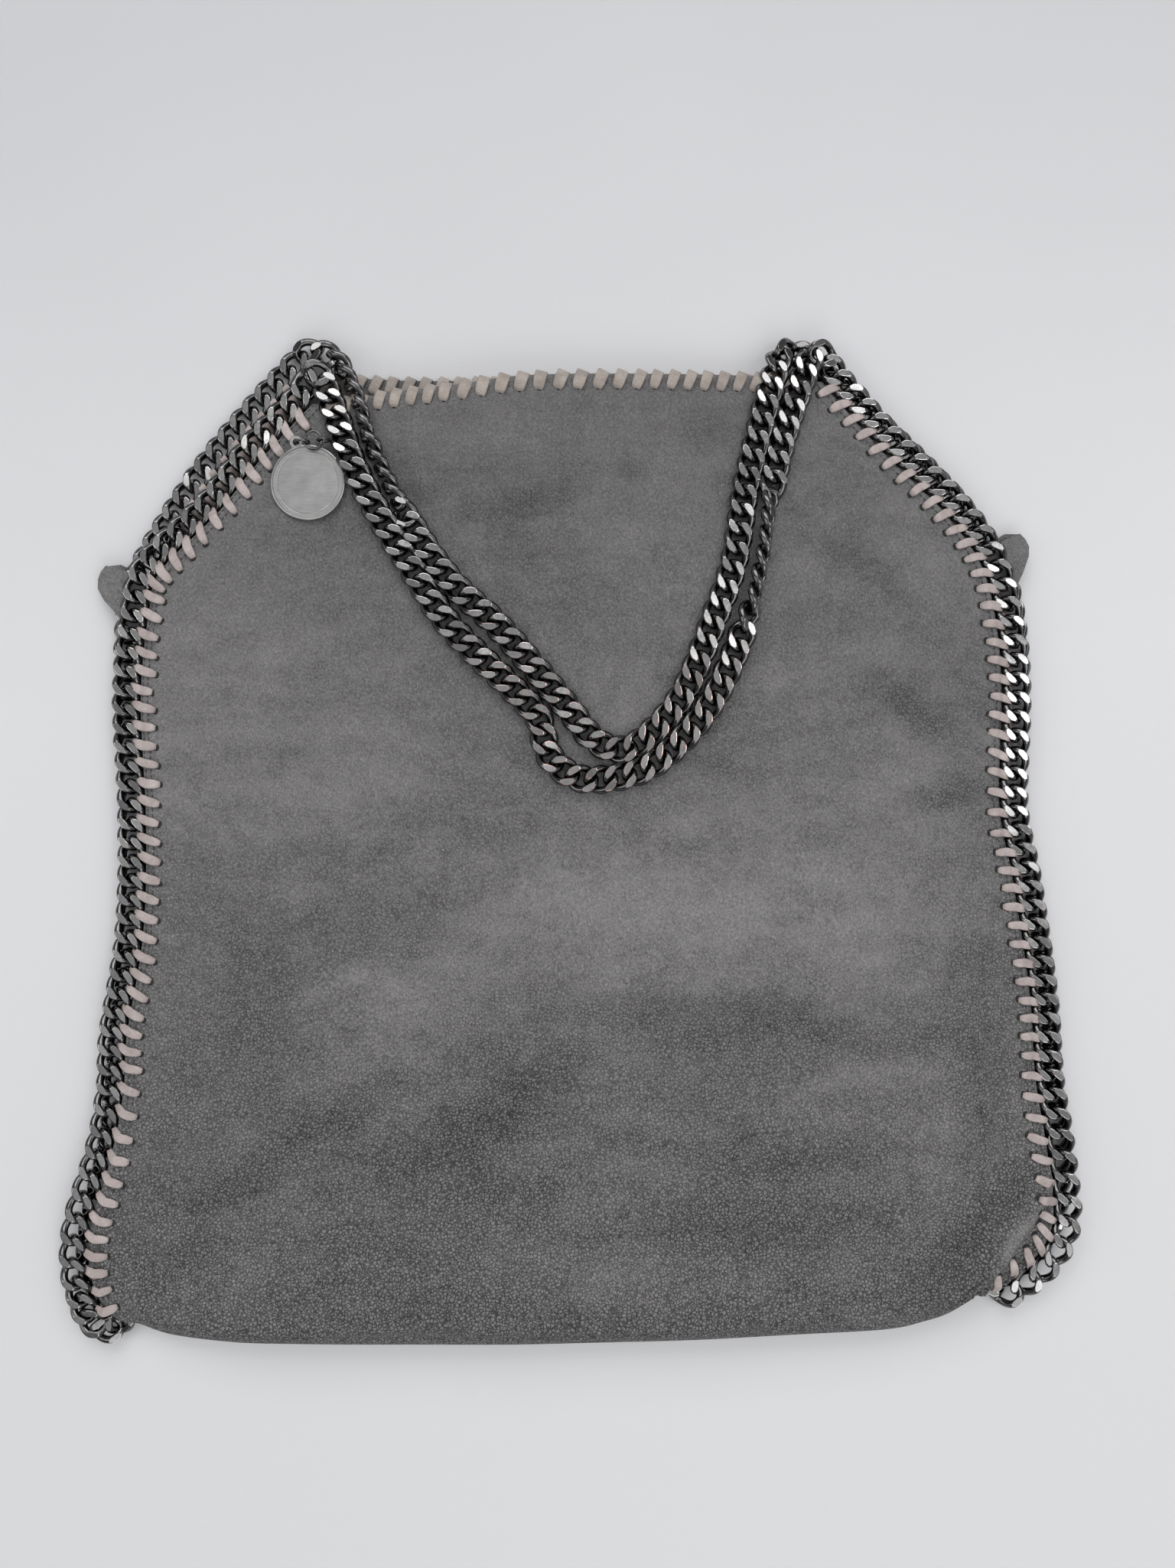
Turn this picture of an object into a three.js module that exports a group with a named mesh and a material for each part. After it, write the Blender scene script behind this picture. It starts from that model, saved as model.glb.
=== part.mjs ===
// A soft tote handbag with curb-chain edges and two chain handles, lying on its back.
// Units are millimetres. +Z is up from the surface it lies on, +Y runs from the base to the mouth.
// The origin is under the middle of the bag. The back half lies still, and the front half and both
// handles lie on it. Chains are plain bands here, one for each run, with the chain's own width.
import * as THREE from "three";

// ---- driving dimensions ----
const PANEL_T = 1.5; // faux suede with its backing
const LINING_T = 0.5;
const GUSSET_T = 0.5;
const LACE_T = 0.6;
const GAP = 0.3; // between pieces that touch on the real bag
const LINING_GAP = 0.8; // between two crowned sheets, whose facets differ
const EDGE_CHAIN_W = 10;
const HANDLE_CHAIN_W = 7;
const CHAIN_T = 3.2;
const EDGE_INSET = 5.6; // chain's middle line to the fabric's edge
const LACE_W = 5.4;
const GUSSET_DEPTH = 38; // each leaf, folded inwards
const TAB_REACH = 14.5; // how far a gusset's tab comes out at the top

const BACK_LINING_Z = 3.0;
const POUCH_Z = 1.8;
const ZIP_Z = 3.8;
const GUSSET_BACK_Z = 3.8;
const GUSSET_FRONT_Z = 4.6;
const FRONT_EDGE_Z = 6.7; // underside of the front panel at its sides
const CROWN = 5.2; // how much higher it is in the middle
const CROWN_REACH = 60;
const BODY_HALF_W = 168;
const SHOULDER_Y = 103; // the sides slope in above this
const HINGE_Y = -166; // where the front panel bends out of the base fold
const HANDLE_LIFT = 4.7; // handle's middle above the front panel's underside

// ---- middle lines of the chain runs, as x and y, from the base to the mouth ----
const FRONT_LEFT = [
  [-183, -164], [-184.6, -154], [-183, -138], [-175, -112], [-171, -90], [-170, -70],
  [-164, -32], [-163, 10], [-165, 55], [-162, 87], [-157, 104], [-134, 127], [-118, 148], [-100, 167],
];
const FRONT_RIGHT = [
  [158, -169], [168, -162], [176, -155], [183, -145], [185, -131], [181, -106], [177, -85], [175, -56],
  [169, -12], [164, 15], [165, 52], [163, 80], [157, 105], [143, 126], [120, 149], [97, 175],
];
const BACK_LEFT = [
  [-177, -168], [-180.5, -155], [-178.5, -138], [-172.5, -112], [-170, -88], [-167.5, -60],
  [-164, -10], [-166, 50], [-166, 82], [-162, 101], [-142, 134], [-124, 157], [-103, 180],
];
const BACK_RIGHT = [
  [156, -165], [165, -158.5], [173, -151.5], [179, -142], [181.5, -129], [182, -110], [179, -88], [177, -56],
  [171, -14], [166, 15], [167, 55], [165, 84], [159, 106], [141, 131], [118, 154], [88, 181],
];
const FRONT_HANDLE = [
  [-91, 170], [-86, 156], [-79.5, 138], [-70, 120], [-58, 101], [-44, 80], [-20, 56], [-11.4, 46],
  [-8, 33], [2, 25], [16, 25], [30, 30], [44, 43], [54, 58], [63, 80], [69, 102], [72.5, 127],
  [76, 144], [81, 160], [86, 174],
];
const BACK_HANDLE = [
  [-84, 176], [-75.5, 163], [-71, 148], [-61, 127], [-50.4, 108], [-40, 93.5], [-27.5, 81.5], [-12.5, 64],
  [1, 47.5], [8, 39], [19, 35], [31, 43], [42, 58], [52, 83], [59, 103], [63, 128], [68, 149],
  [72, 164], [76, 178],
];
const FRONT_MOUTH = [[-68, 166.5], [-44, 169], [-8, 173], [68, 173]];
const BACK_MOUTH = [[-60, 174], [0, 174.5], [60, 175]];
const BASE_LINE = [
  [-166, -175], [-160, -178], [-150, -181.5], [-110, -184], [-37, -184.6], [21, -184],
  [79, -181.3], [123, -177], [136, -174.5], [141, -172.5],
];

// ---- colours ----
const SUEDE = { color: 0x686766, roughness: 0.95, metalness: 0 };
const LINING = { color: 0x8c8681, roughness: 0.8, metalness: 0 };
const LACE = { color: 0xb5a8a4, roughness: 0.7, metalness: 0 };
const GUNMETAL = { color: 0x4a4a4d, roughness: 0.25, metalness: 1 };
const SILVER = { color: 0xb9babc, roughness: 0.3, metalness: 1 };

const bag = new THREE.Group();

function add(name, geometry, look) {
  const mesh = new THREE.Mesh(geometry, new THREE.MeshStandardMaterial(look));
  mesh.name = name;
  bag.add(mesh);
  return mesh;
}

const clamp01 = (t) => Math.min(1, Math.max(0, t));
const smooth = (t) => clamp01(t) ** 2 * (3 - 2 * clamp01(t));

// Underside of the front panel: low at the sides, crowned in the middle, lower again at the mouth.
function frontZ(x, y) {
  const halfWidth = BODY_HALF_W - Math.max(0, y - SHOULDER_Y);
  const fromSide = smooth((halfWidth - Math.abs(x)) / CROWN_REACH);
  const nearMouth = 1 - 0.25 * smooth((y - 90) / 80);
  return FRONT_EDGE_Z + CROWN * fromSide * nearMouth;
}

// A closed solid between a lower and an upper surface, each a function of u and v from 0 to 1.
function slab(across, along, lower, upper) {
  const positions = [];
  const faces = [];
  const row = across + 1;
  const layer = row * (along + 1);
  for (const surface of [lower, upper]) {
    for (let j = 0; j <= along; j += 1) {
      for (let i = 0; i <= across; i += 1) {
        positions.push(...surface(i / across, j / along));
      }
    }
  }
  const quad = (a, b, c, d) => faces.push(a, b, c, a, c, d);
  for (let j = 0; j < along; j += 1) {
    for (let i = 0; i < across; i += 1) {
      const a = j * row + i;
      quad(a, a + row, a + row + 1, a + 1);
      quad(layer + a, layer + a + 1, layer + a + row + 1, layer + a + row);
    }
    const left = j * row;
    const right = left + across;
    quad(left, layer + left, layer + left + row, left + row);
    quad(right, right + row, layer + right + row, layer + right);
  }
  for (let i = 0; i < across; i += 1) {
    const far = along * row + i;
    quad(i, i + 1, layer + i + 1, layer + i);
    quad(far, layer + far, layer + far + 1, far + 1);
  }
  const geometry = new THREE.BufferGeometry();
  geometry.setAttribute("position", new THREE.Float32BufferAttribute(positions, 3));
  geometry.setIndex(faces);
  geometry.computeVertexNormals();
  return geometry;
}

const spline = (points) => new THREE.SplineCurve(points.map(([x, y]) => new THREE.Vector2(x, y)));

// The point beside a curve, to the right of its direction.
function beside(curve, t, distance) {
  const point = curve.getPointAt(t);
  const tangent = curve.getTangentAt(t);
  return new THREE.Vector2(point.x + tangent.y * distance, point.y - tangent.x * distance);
}

// A flat band of the given width along a curve. height gives its lower face at x and y.
function band(points, from, to, width, steps, height, thickness, offset = 0) {
  const curve = spline(points);
  const at = (rise) => (u, v) => {
    const t = from + (to - from) * v;
    const p = beside(curve, t, offset + (u - 0.5) * width);
    const middle = beside(curve, t, offset);
    return [p.x, p.y, height(middle.x, middle.y, p.x, p.y) + rise];
  };
  return slab(1, steps, at(0), at(thickness));
}

// A four-sided patch from its left, right, lower and upper edges.
function patch(left, right, lower, upper) {
  const [p00, p10, p01, p11] = [lower(0), lower(1), upper(0), upper(1)];
  const mix = (a, b, t) => a * (1 - t) + b * t;
  return (u, v) => {
    const axis = (k) =>
      mix(left(v)[k], right(v)[k], u) + mix(lower(u)[k], upper(u)[k], v)
      - mix(mix(p00[k], p10[k], u), mix(p01[k], p11[k], u), v);
    return new THREE.Vector2(axis("x"), axis("y"));
  };
}

// One half of the bag: the fabric between two edge chains, from the hinge line to the mouth.
function half(leftPoints, rightPoints, mouth, margin) {
  const leftCurve = spline(leftPoints);
  const rightCurve = spline(rightPoints);
  const left = (v) => beside(leftCurve, v, margin);
  const right = (v) => beside(rightCurve, v, -margin);
  const lower = (u) => left(0).lerp(right(0), u);
  const drop = Math.max(0, margin - EDGE_INSET);
  const inner = mouth.map(([x, y]) => [x, y - drop]);
  const top = spline([left(1).toArray(), ...inner, right(1).toArray()]);
  return patch(left, right, lower, (u) => top.getPoint(u));
}

function plate(shape, across, along, z, thickness) {
  const at = (rise) => (u, v) => {
    const p = shape(u, v);
    return [p.x, Math.max(p.y, HINGE_Y + GAP), z(p.x, p.y) + rise];
  };
  return slab(across, along, at(0), at(thickness));
}

const level = (z) => () => z;
const overFront = (rise) => (x, y) => frontZ(x, y) + rise;
const overFrontEach = (rise) => (_x, _y, x, y) => frontZ(x, y) + rise;

// ---- fabric shells ----
const frontShape = half(FRONT_LEFT, FRONT_RIGHT, FRONT_MOUTH, EDGE_INSET);
const backShape = half(BACK_LEFT, BACK_RIGHT, BACK_MOUTH, EDGE_INSET);
const frontLiningShape = half(FRONT_LEFT, FRONT_RIGHT, FRONT_MOUTH, 13);
const backLiningShape = half(BACK_LEFT, BACK_RIGHT, BACK_MOUTH, 13);
const liningDrop = LINING_GAP + LINING_T;

add("front_panel", plate(frontShape, 18, 18, frontZ, PANEL_T), SUEDE);
add("back_panel", plate(backShape, 2, 22, level(0), PANEL_T), SUEDE);
add("front_lining", plate(frontLiningShape, 12, 12, overFront(-liningDrop), LINING_T), LINING);
add("back_lining", plate(backLiningShape, 2, 14, level(BACK_LINING_Z), LINING_T), LINING);

// The base fold is a half-round channel that joins the two panels.
const FLAT_SHARE = 0.2; // of the channel's section, at each end of its half round
function baseFold() {
  const line = spline(BASE_LINE);
  const startY = HINGE_Y - GAP;
  const at = (inset) => (u, v) => {
    const p = line.getPointAt(v);
    const height = frontZ(p.x, HINGE_Y) + PANEL_T;
    const radius = height / 2 - inset;
    const roundY = p.y + height / 2;
    if (u < FLAT_SHARE) {
      return [p.x, startY + (roundY - startY) * (u / FLAT_SHARE), inset];
    }
    if (u > 1 - FLAT_SHARE) {
      return [p.x, startY + (roundY - startY) * ((1 - u) / FLAT_SHARE), height - inset];
    }
    const angle = ((u - FLAT_SHARE) / (1 - 2 * FLAT_SHARE)) * Math.PI;
    return [p.x, roundY - radius * Math.sin(angle), height / 2 - radius * Math.cos(angle)];
  };
  return slab(10, 14, at(0), at(PANEL_T));
}
add("base_fold", baseFold(), SUEDE);

// ---- gussets: two leaves on each side, folded in between the halves, with a tab at the top ----
// Places along an edge are shares of its length, from the base to the mouth.
const GUSSET_START = 0.06;
const BACK_LEAF_END = 0.765;
const FRONT_LEAF_END = 0.76;
const TAB_SHARE = 0.1; // of the leaf's length

function gusset(edgePoints, side, end, z) {
  const curve = spline(edgePoints);
  const inward = side === "left" ? 1 : -1;
  const outline = (u, v) => {
    const t = GUSSET_START + (end - GUSSET_START) * v;
    const tab = TAB_REACH * smooth((v - 1 + TAB_SHARE) / TAB_SHARE);
    const outer = EDGE_INSET - tab;
    return beside(curve, t, inward * (outer + (GUSSET_DEPTH - outer) * u));
  };
  const at = (rise) => (u, v) => {
    const p = side === "left" ? outline(u, v) : outline(1 - u, v);
    return [p.x, p.y, z + rise];
  };
  return slab(2, 20, at(0), at(GUSSET_T));
}
add("gusset_left_back", gusset(BACK_LEFT, "left", BACK_LEAF_END, GUSSET_BACK_Z), SUEDE);
add("gusset_left_front", gusset(FRONT_LEFT, "left", FRONT_LEAF_END, GUSSET_FRONT_Z), SUEDE);
add("gusset_right_back", gusset(BACK_RIGHT, "right", BACK_LEAF_END, GUSSET_BACK_Z), SUEDE);
add("gusset_right_front", gusset(FRONT_RIGHT, "right", FRONT_LEAF_END, GUSSET_FRONT_Z), SUEDE);

// ---- edge chains ----
const frontChainZ = FRONT_EDGE_Z + PANEL_T / 2 - CHAIN_T / 2;
const RUN_START = 0.012;
const RUN_START_FRONT_RIGHT = 0.058; // the turn under this corner takes up more of the edge
const edgeRun = (points, z, start) => band(points, start, 1, EDGE_CHAIN_W, 34, level(z), CHAIN_T);
add("edge_chain_front_left", edgeRun(FRONT_LEFT, frontChainZ, RUN_START), GUNMETAL);
add("edge_chain_front_right", edgeRun(FRONT_RIGHT, frontChainZ, RUN_START_FRONT_RIGHT), GUNMETAL);
add("edge_chain_back_left", edgeRun(BACK_LEFT, 0, RUN_START), GUNMETAL);
add("edge_chain_back_right", edgeRun(BACK_RIGHT, 0, RUN_START), GUNMETAL);

// At the base corners the chain turns under the bag, from the front run down to the back run.
function cornerRun(points) {
  const curve = new THREE.CatmullRomCurve3(points.map((p) => new THREE.Vector3(...p)));
  const at = (rise) => (u, v) => {
    const p = curve.getPointAt(v);
    const t = curve.getTangentAt(v).setZ(0).normalize();
    const shift = (u - 0.5) * EDGE_CHAIN_W;
    return [p.x + t.y * shift, p.y - t.x * shift, p.z - CHAIN_T / 2 + rise];
  };
  return slab(1, 10, at(0), at(CHAIN_T));
}
const LEFT_CORNER = [[-168, -181.5, 5], [-174, -181, 5.4], [-180, -174.5, 6.6], [-182, -170, 7.2]];
const RIGHT_CORNER = [[155, -170.5, 5], [160, -167.6, 5.4], [166, -163.4, 6.6], [170.5, -159.8, 7.2]];
add("edge_chain_corner_left", cornerRun(LEFT_CORNER), GUNMETAL);
add("edge_chain_corner_right", cornerRun(RIGHT_CORNER), GUNMETAL);

// ---- lacing: the flat strip whipped over each edge ----
const laceRise = PANEL_T + GAP;
const frontLaceRise = PANEL_T + 0.55; // the crowned panel's facets need more room
const laceOffset = EDGE_INSET + LACE_W / 2;
const LACED = [0.06, 0.97]; // the laced share of each edge
function frontLace(points, side) {
  return band(points, ...LACED, LACE_W, 28, overFrontEach(frontLaceRise), LACE_T, side * laceOffset);
}
function backLace(points, side) {
  return band(points, ...LACED, LACE_W, 22, level(laceRise), LACE_T, side * laceOffset);
}
add("lacing_front_left", frontLace(FRONT_LEFT, 1), LACE);
add("lacing_front_right", frontLace(FRONT_RIGHT, -1), LACE);
add("lacing_back_left", backLace(BACK_LEFT, 1), LACE);
add("lacing_back_right", backLace(BACK_RIGHT, -1), LACE);

const MOUTH_LACED = [0.06, 0.94];
const LIP = 0.6; // the mouth's edge beyond the lacing
function mouthLace(shape, z) {
  const [from, to] = MOUTH_LACED;
  const at = (rise) => (u, v) => {
    const p = shape(from + (to - from) * v, 1);
    const y = p.y - LIP - LACE_W * u;
    return [p.x, y, z(p.x, y) + rise];
  };
  return slab(1, 18, at(0), at(LACE_T));
}
add("lacing_front_top", mouthLace(frontShape, overFront(frontLaceRise)), LACE);
add("lacing_back_top", mouthLace(backShape, level(laceRise)), LACE);

// ---- chain handles, each in a left leg, a bend and a right leg ----
const HANDLE_CUTS = { left: [0, 0.375], bend: [0.379, 0.575], right: [0.579, 1] };
const handleZ = overFront(HANDLE_LIFT - CHAIN_T / 2);
for (const [name, points] of [["front_handle", FRONT_HANDLE], ["back_handle", BACK_HANDLE]]) {
  for (const [part, [from, to]] of Object.entries(HANDLE_CUTS)) {
    const steps = part === "bend" ? 16 : 20;
    add(`${name}_${part}`, band(points, from, to, HANDLE_CHAIN_W, steps, handleZ, CHAIN_T), GUNMETAL);
  }
}

// ---- charm tag: a disc on two rings, the larger one in a link of the front handle ----
const RING_Z = 15;
const TAG_R = 13.8;
const TAG_T = 1.1;
const TAG_Z = 13.15;
const TAG_CENTRE = [-96.3, 132.8];
const EAR = [-100.5, 147.5]; // the hole that the small ring goes through
const EAR_R = 2.4;
const EAR_HOLE_R = 1.2;
const EAR_SWEEP = 1.3; // each way from the ear's outer end, in radians

function ring(name, x, y, z, radius, wire, upright) {
  const mesh = add(name, new THREE.TorusGeometry(radius, wire, 6, 18), GUNMETAL);
  mesh.position.set(x, y, z);
  mesh.rotation.x = upright ? Math.PI / 2 : 0;
}
ring("tag_link", -90.3, 148, RING_Z, 2.2, 0.45, true);
ring("tag_ring", -94.1, 148, RING_Z, 3.2, 0.5, false);
ring("tag_jump_ring", -98.1, 147.5, RING_Z - 0.6, 2.4, 0.45, true);

function tagDisc() {
  const [earX, earY] = [EAR[0] - TAG_CENTRE[0], EAR[1] - TAG_CENTRE[1]];
  const earAngle = Math.atan2(earY, earX);
  const reach = Math.hypot(earX, earY);
  const shape = new THREE.Shape();
  const spread = 0.2; // half the ear's width, as an angle at the disc's centre
  shape.absarc(0, 0, TAG_R, earAngle + spread, earAngle - spread + 2 * Math.PI, false);
  const tip = new THREE.Vector2(Math.cos(earAngle), Math.sin(earAngle)).multiplyScalar(reach);
  shape.absarc(tip.x, tip.y, EAR_R, earAngle - EAR_SWEEP, earAngle + EAR_SWEEP, false);
  shape.closePath();
  const hole = new THREE.Path();
  hole.absarc(tip.x, tip.y, EAR_HOLE_R, 0, 2 * Math.PI, true);
  shape.holes.push(hole);
  const options = { depth: TAG_T, bevelEnabled: false, curveSegments: 20 };
  return new THREE.ExtrudeGeometry(shape, options);
}
add("tag_disc", tagDisc(), SILVER).position.set(...TAG_CENTRE, TAG_Z);

// ---- inside: magnetic snap, zip pocket on the back lining, slip pocket on the front lining ----
const SNAP_Y = 150;
const SNAP_R = 9;
const SNAP_T = 2;
const STUD_R = 6;

function disc(name, radius, z, thickness, look) {
  const mesh = add(name, new THREE.CylinderGeometry(radius, radius, thickness, 24), look);
  mesh.rotation.x = Math.PI / 2;
  mesh.position.set(0, SNAP_Y, z + thickness / 2);
}
const liningTop = BACK_LINING_Z + LINING_T;
disc("snap_socket", SNAP_R, liningTop + GAP, SNAP_T, GUNMETAL);
disc("snap_stud", STUD_R, frontZ(0, SNAP_Y + STUD_R) - liningDrop - GAP - SNAP_T, SNAP_T, GUNMETAL);

function block(name, size, centre, look) {
  add(name, new THREE.BoxGeometry(...size), look).position.set(...centre);
}
const ZIP_Y = 95;
const ZIP_LENGTH = 160;
const TAPE_W = 11;
const TAPE_T = 0.5;
const COIL_W = 2.2;
const COIL_T = 0.8;
const COIL_SPACE = COIL_W / 2 + GAP;
const COIL_LENGTH = ZIP_LENGTH - 12;
const STOP_L = 3;
const STOP_W = COIL_W + 0.6;
const STOP_X = ZIP_LENGTH / 2 - 3.5;
const POUCH = [150, 110, 0.9];
const POUCH_DROP = 62; // from the zip to the pouch's middle
const SLIDER = [8, 7, 1.7];
const PULL_NECK_R = 2.2;
const PULL_TIP_R = 3;
const PULL_LENGTH = 19; // between the middles of its two round ends
const PULL_T = 0.8;
const tapeZ = ZIP_Z + TAPE_T / 2;
block("zip_tape_upper", [ZIP_LENGTH, TAPE_W, TAPE_T], [0, ZIP_Y + COIL_SPACE + TAPE_W / 2, tapeZ], LINING);
block("zip_tape_lower", [ZIP_LENGTH, TAPE_W, TAPE_T], [0, ZIP_Y - COIL_SPACE - TAPE_W / 2, tapeZ], LINING);
block("zip_coil", [COIL_LENGTH, COIL_W, COIL_T], [0, ZIP_Y, ZIP_Z + COIL_T / 2], GUNMETAL);
for (const [side, x] of [["left", -STOP_X], ["right", STOP_X]]) {
  const centre = [x, ZIP_Y, ZIP_Z + TAPE_T + GAP + COIL_T / 2];
  block(`zip_stop_${side}`, [STOP_L, STOP_W, COIL_T], centre, GUNMETAL);
}
block("zip_pocket_pouch", POUCH, [0, ZIP_Y - POUCH_DROP, POUCH_Z + POUCH[2] / 2], LINING);

const SLIDER_START_X = -68;
const sliderZ = ZIP_Z + COIL_T + GAP;
block("zip_slider", SLIDER, [SLIDER_START_X, ZIP_Y, sliderZ + SLIDER[2] / 2], GUNMETAL);
function zipPull() {
  const shape = new THREE.Shape();
  shape.absarc(0, 0, PULL_NECK_R, 0, Math.PI, false);
  shape.absarc(0, -PULL_LENGTH, PULL_TIP_R, Math.PI, 2 * Math.PI, false);
  shape.closePath();
  return new THREE.ExtrudeGeometry(shape, { depth: PULL_T, bevelEnabled: false, curveSegments: 8 });
}
add("zip_pull", zipPull(), GUNMETAL).position.set(SLIDER_START_X, ZIP_Y, sliderZ + SLIDER[2] + GAP);

const POCKET_HALF_W = 62;
const POCKET_Y = [-25, 70];
function slipPocket() {
  const drop = liningDrop + GAP + LINING_T;
  const at = (rise) => (u, v) => {
    const x = (2 * u - 1) * POCKET_HALF_W;
    const y = POCKET_Y[0] + (POCKET_Y[1] - POCKET_Y[0]) * v;
    return [x, y, frontZ(x, y) - drop + rise];
  };
  return slab(8, 4, at(0), at(LINING_T));
}
add("slip_pocket", slipPocket(), LINING);

export default bag;
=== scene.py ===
"""A grey suede-look tote handbag with curb-chain edges and two chain handles, lying on its back.

Sizes and places in this script are millimetres, in the CAD part's frame. Meshes are made in metres.
"""
import math
import random

import bmesh
import bpy
import numpy as np
from mathutils import Matrix, Vector
from mathutils.bvhtree import BVHTree


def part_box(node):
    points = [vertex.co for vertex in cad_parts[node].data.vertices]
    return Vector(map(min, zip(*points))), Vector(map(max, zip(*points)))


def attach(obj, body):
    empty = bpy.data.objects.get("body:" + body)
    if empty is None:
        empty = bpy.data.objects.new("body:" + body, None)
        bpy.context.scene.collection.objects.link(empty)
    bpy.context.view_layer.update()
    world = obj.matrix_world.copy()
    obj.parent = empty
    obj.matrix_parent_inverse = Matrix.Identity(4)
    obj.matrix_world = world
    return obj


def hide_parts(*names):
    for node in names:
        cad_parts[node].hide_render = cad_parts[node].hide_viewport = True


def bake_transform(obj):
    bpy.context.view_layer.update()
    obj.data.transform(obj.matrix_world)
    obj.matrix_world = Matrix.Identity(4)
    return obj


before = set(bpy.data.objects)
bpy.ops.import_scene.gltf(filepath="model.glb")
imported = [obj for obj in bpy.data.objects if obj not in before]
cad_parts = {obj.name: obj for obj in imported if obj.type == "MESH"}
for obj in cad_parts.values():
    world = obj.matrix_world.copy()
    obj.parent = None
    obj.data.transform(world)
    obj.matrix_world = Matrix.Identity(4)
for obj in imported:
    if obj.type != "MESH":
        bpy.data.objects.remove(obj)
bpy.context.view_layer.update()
MM = 0.001
UP = np.array([0.0, 0.0, 1.0])

# ---- driving dimensions ----
FLOOR_GAP = 0.02  # nothing goes lower than this
PANEL_T = 1.4
EDGE_INSET = 5.6  # chain's middle line to the fabric's edge
FRONT_EDGE_Z = 6.7
CROWN = 5.2
CROWN_REACH = 60
BODY_HALF_W = 168
SHOULDER_Y = 103
HINGE_Y = -166
FRONT_CHAIN_Z = 7.45
BACK_CHAIN_Z = 2.3
PITCH = 7.0  # of a slack chain; it is stretched near the base corners
STRETCHED_PITCH = 8.2
BUNCHED_PITCH = 6.2
GUSSET_DEPTH = 38

# ---- middle lines of the chain runs, from the base to the mouth ----
FRONT_LEFT = [
    [-183, -164], [-184.6, -154], [-183, -138], [-175, -112], [-171, -90], [-170, -70],
    [-164, -32], [-163, 10], [-165, 55], [-162, 87], [-157, 104], [-134, 127], [-118, 148], [-100, 167],
]
FRONT_RIGHT = [
    [159.5, -168.5], [167, -163.2], [173.2, -158.5], [178.8, -152.5], [182.5, -145], [184, -134], [181, -108],
    [177.3, -85], [175.2, -56],
    [169, -12], [164, 15], [165, 52], [163, 80], [157, 105], [143, 126], [120, 149], [97, 175],
]
BACK_LEFT = [
    [-177, -168], [-180.5, -155], [-178.5, -138], [-172.5, -112], [-170, -88], [-167.5, -60],
    [-164, -10], [-166, 50], [-166, 82], [-162, 101], [-142, 134], [-124, 157], [-103, 180],
]
BACK_RIGHT = [
    [156, -165], [165, -158.5], [173, -151.5], [179, -142], [181.5, -129], [182, -110],
    [179, -88], [177, -56],
    [171, -14], [166, 15], [167, 55], [165, 84], [159, 106], [141, 131], [118, 154], [88, 181],
]
FRONT_HANDLE = [
    [-91, 170], [-85.6, 156], [-79, 138], [-69.6, 120], [-57.8, 101], [-44, 80], [-20, 56], [-11.4, 46],
    [-8, 33], [2, 25], [16, 25], [30, 30], [44, 43], [54, 58], [63, 80], [69, 102], [72.5, 127],
    [76, 144], [81, 160], [86, 174],
]
BACK_HANDLE = [
    [-84.5, 176], [-78, 163], [-73.6, 148], [-63.8, 127], [-52.6, 108], [-41.2, 93.5],
    [-28, 81.5], [-12.5, 64],
    [1, 47.5], [8, 39], [19, 35], [31, 43], [42, 58], [52, 83], [59, 103], [63, 128], [68, 149],
    [72, 164], [76, 178],
]
FRONT_MOUTH = [[-68, 166.5], [-44, 169], [-8, 173], [68, 173]]
BACK_MOUTH = [[-60, 174], [0, 174.5], [60, 175]]
# The silhouette of the base, round both corners.
BASE_LINE = [
    [-176.5, -168], [-173.5, -173.5], [-169.5, -177], [-165.5, -178.4], [-161, -178.6], [-156, -180.3],
    [-148, -182.3], [-130, -184], [-110, -184.6], [-37, -184.9], [21, -184], [79, -181.3], [116, -179.3],
    [130, -176.8], [138, -174.2], [144, -170.2], [148.5, -166], [152.5, -162.6], [156.5, -161],
]
# Where the chain turns under the base corners, as x, y and z.
LEFT_CORNER = [[-160, -168, 3.0], [-166.5, -175.5, 3.3], [-172.4, -180.6, 4.4], [-179.3, -175.3, 6.4]]
RIGHT_CORNER = [[157.5, -162.5, 3.4], [160.5, -167.3, 4.4], [165.2, -165.6, 5.6], [170, -161.6, 6.8]]
BACK_CORNER_LEFT = [[-166, -171, 2.2], [-172.5, -175, 2.2]]
BACK_CORNER_RIGHT = [[149, -162, 2.2]]
# How the chain turns over at the top of each edge, from the edge into the handle.
FRONT_TURN_LEFT = [[-97.5, 173.2], [-93.6, 174.6]]
FRONT_TURN_RIGHT = [[88, 179], [91.5, 181.5], [95.6, 179.6]]
BACK_TURN_LEFT = [[-97, 183.6], [-89.5, 180.8]]
BACK_TURN_RIGHT = [[76.6, 180.6], [81, 183]]

# Soft folds in the front: start, end, height, and the width of the left and of the right flank.
FOLDS = [
    ([146, -172], [178, -122], 4.6, 15, 2.4),
    ([2, -50], [150, -57], 1.9, 16, 5.5),
    ([20, -64], [140, -74], -1.2, 8, 9),
    ([-166, -112], [-92, -88], 2.2, 7, 9),
    ([-120, -124], [-52, -92], 1.4, 8, 9),
    ([-100, -134], [-30, -112], -1.0, 9, 9),
    ([154, -66], [161, -122], -2.6, 5, 5),
    ([138, -62], [150, -120], 1.6, 8, 8),
    ([96, 64], [158, 44], -1.1, 5, 6),
    ([104, 52], [158, 28], 0.9, 5, 6),
    ([112, 30], [156, 16], -0.8, 5, 5),
    ([-64, -74], [-12, -112], -1.4, 13, 11),
    ([20, -100], [120, -112], 1.0, 12, 12),
    ([-150, 60], [-96, 96], 0.8, 10, 10),
    ([-168, -150], [-120, -166], -1.2, 7, 9),
    ([112, -160], [150, -136], -1.2, 8, 8),
    ([86, 122], [128, 88], -0.8, 6, 7),
    ([-30, 132], [20, 118], -0.7, 9, 8),
    ([-116, 152], [-82, 112], -1.7, 13, 13),
    ([-20, 12], [60, -8], 0.8, 14, 12),
]

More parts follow.
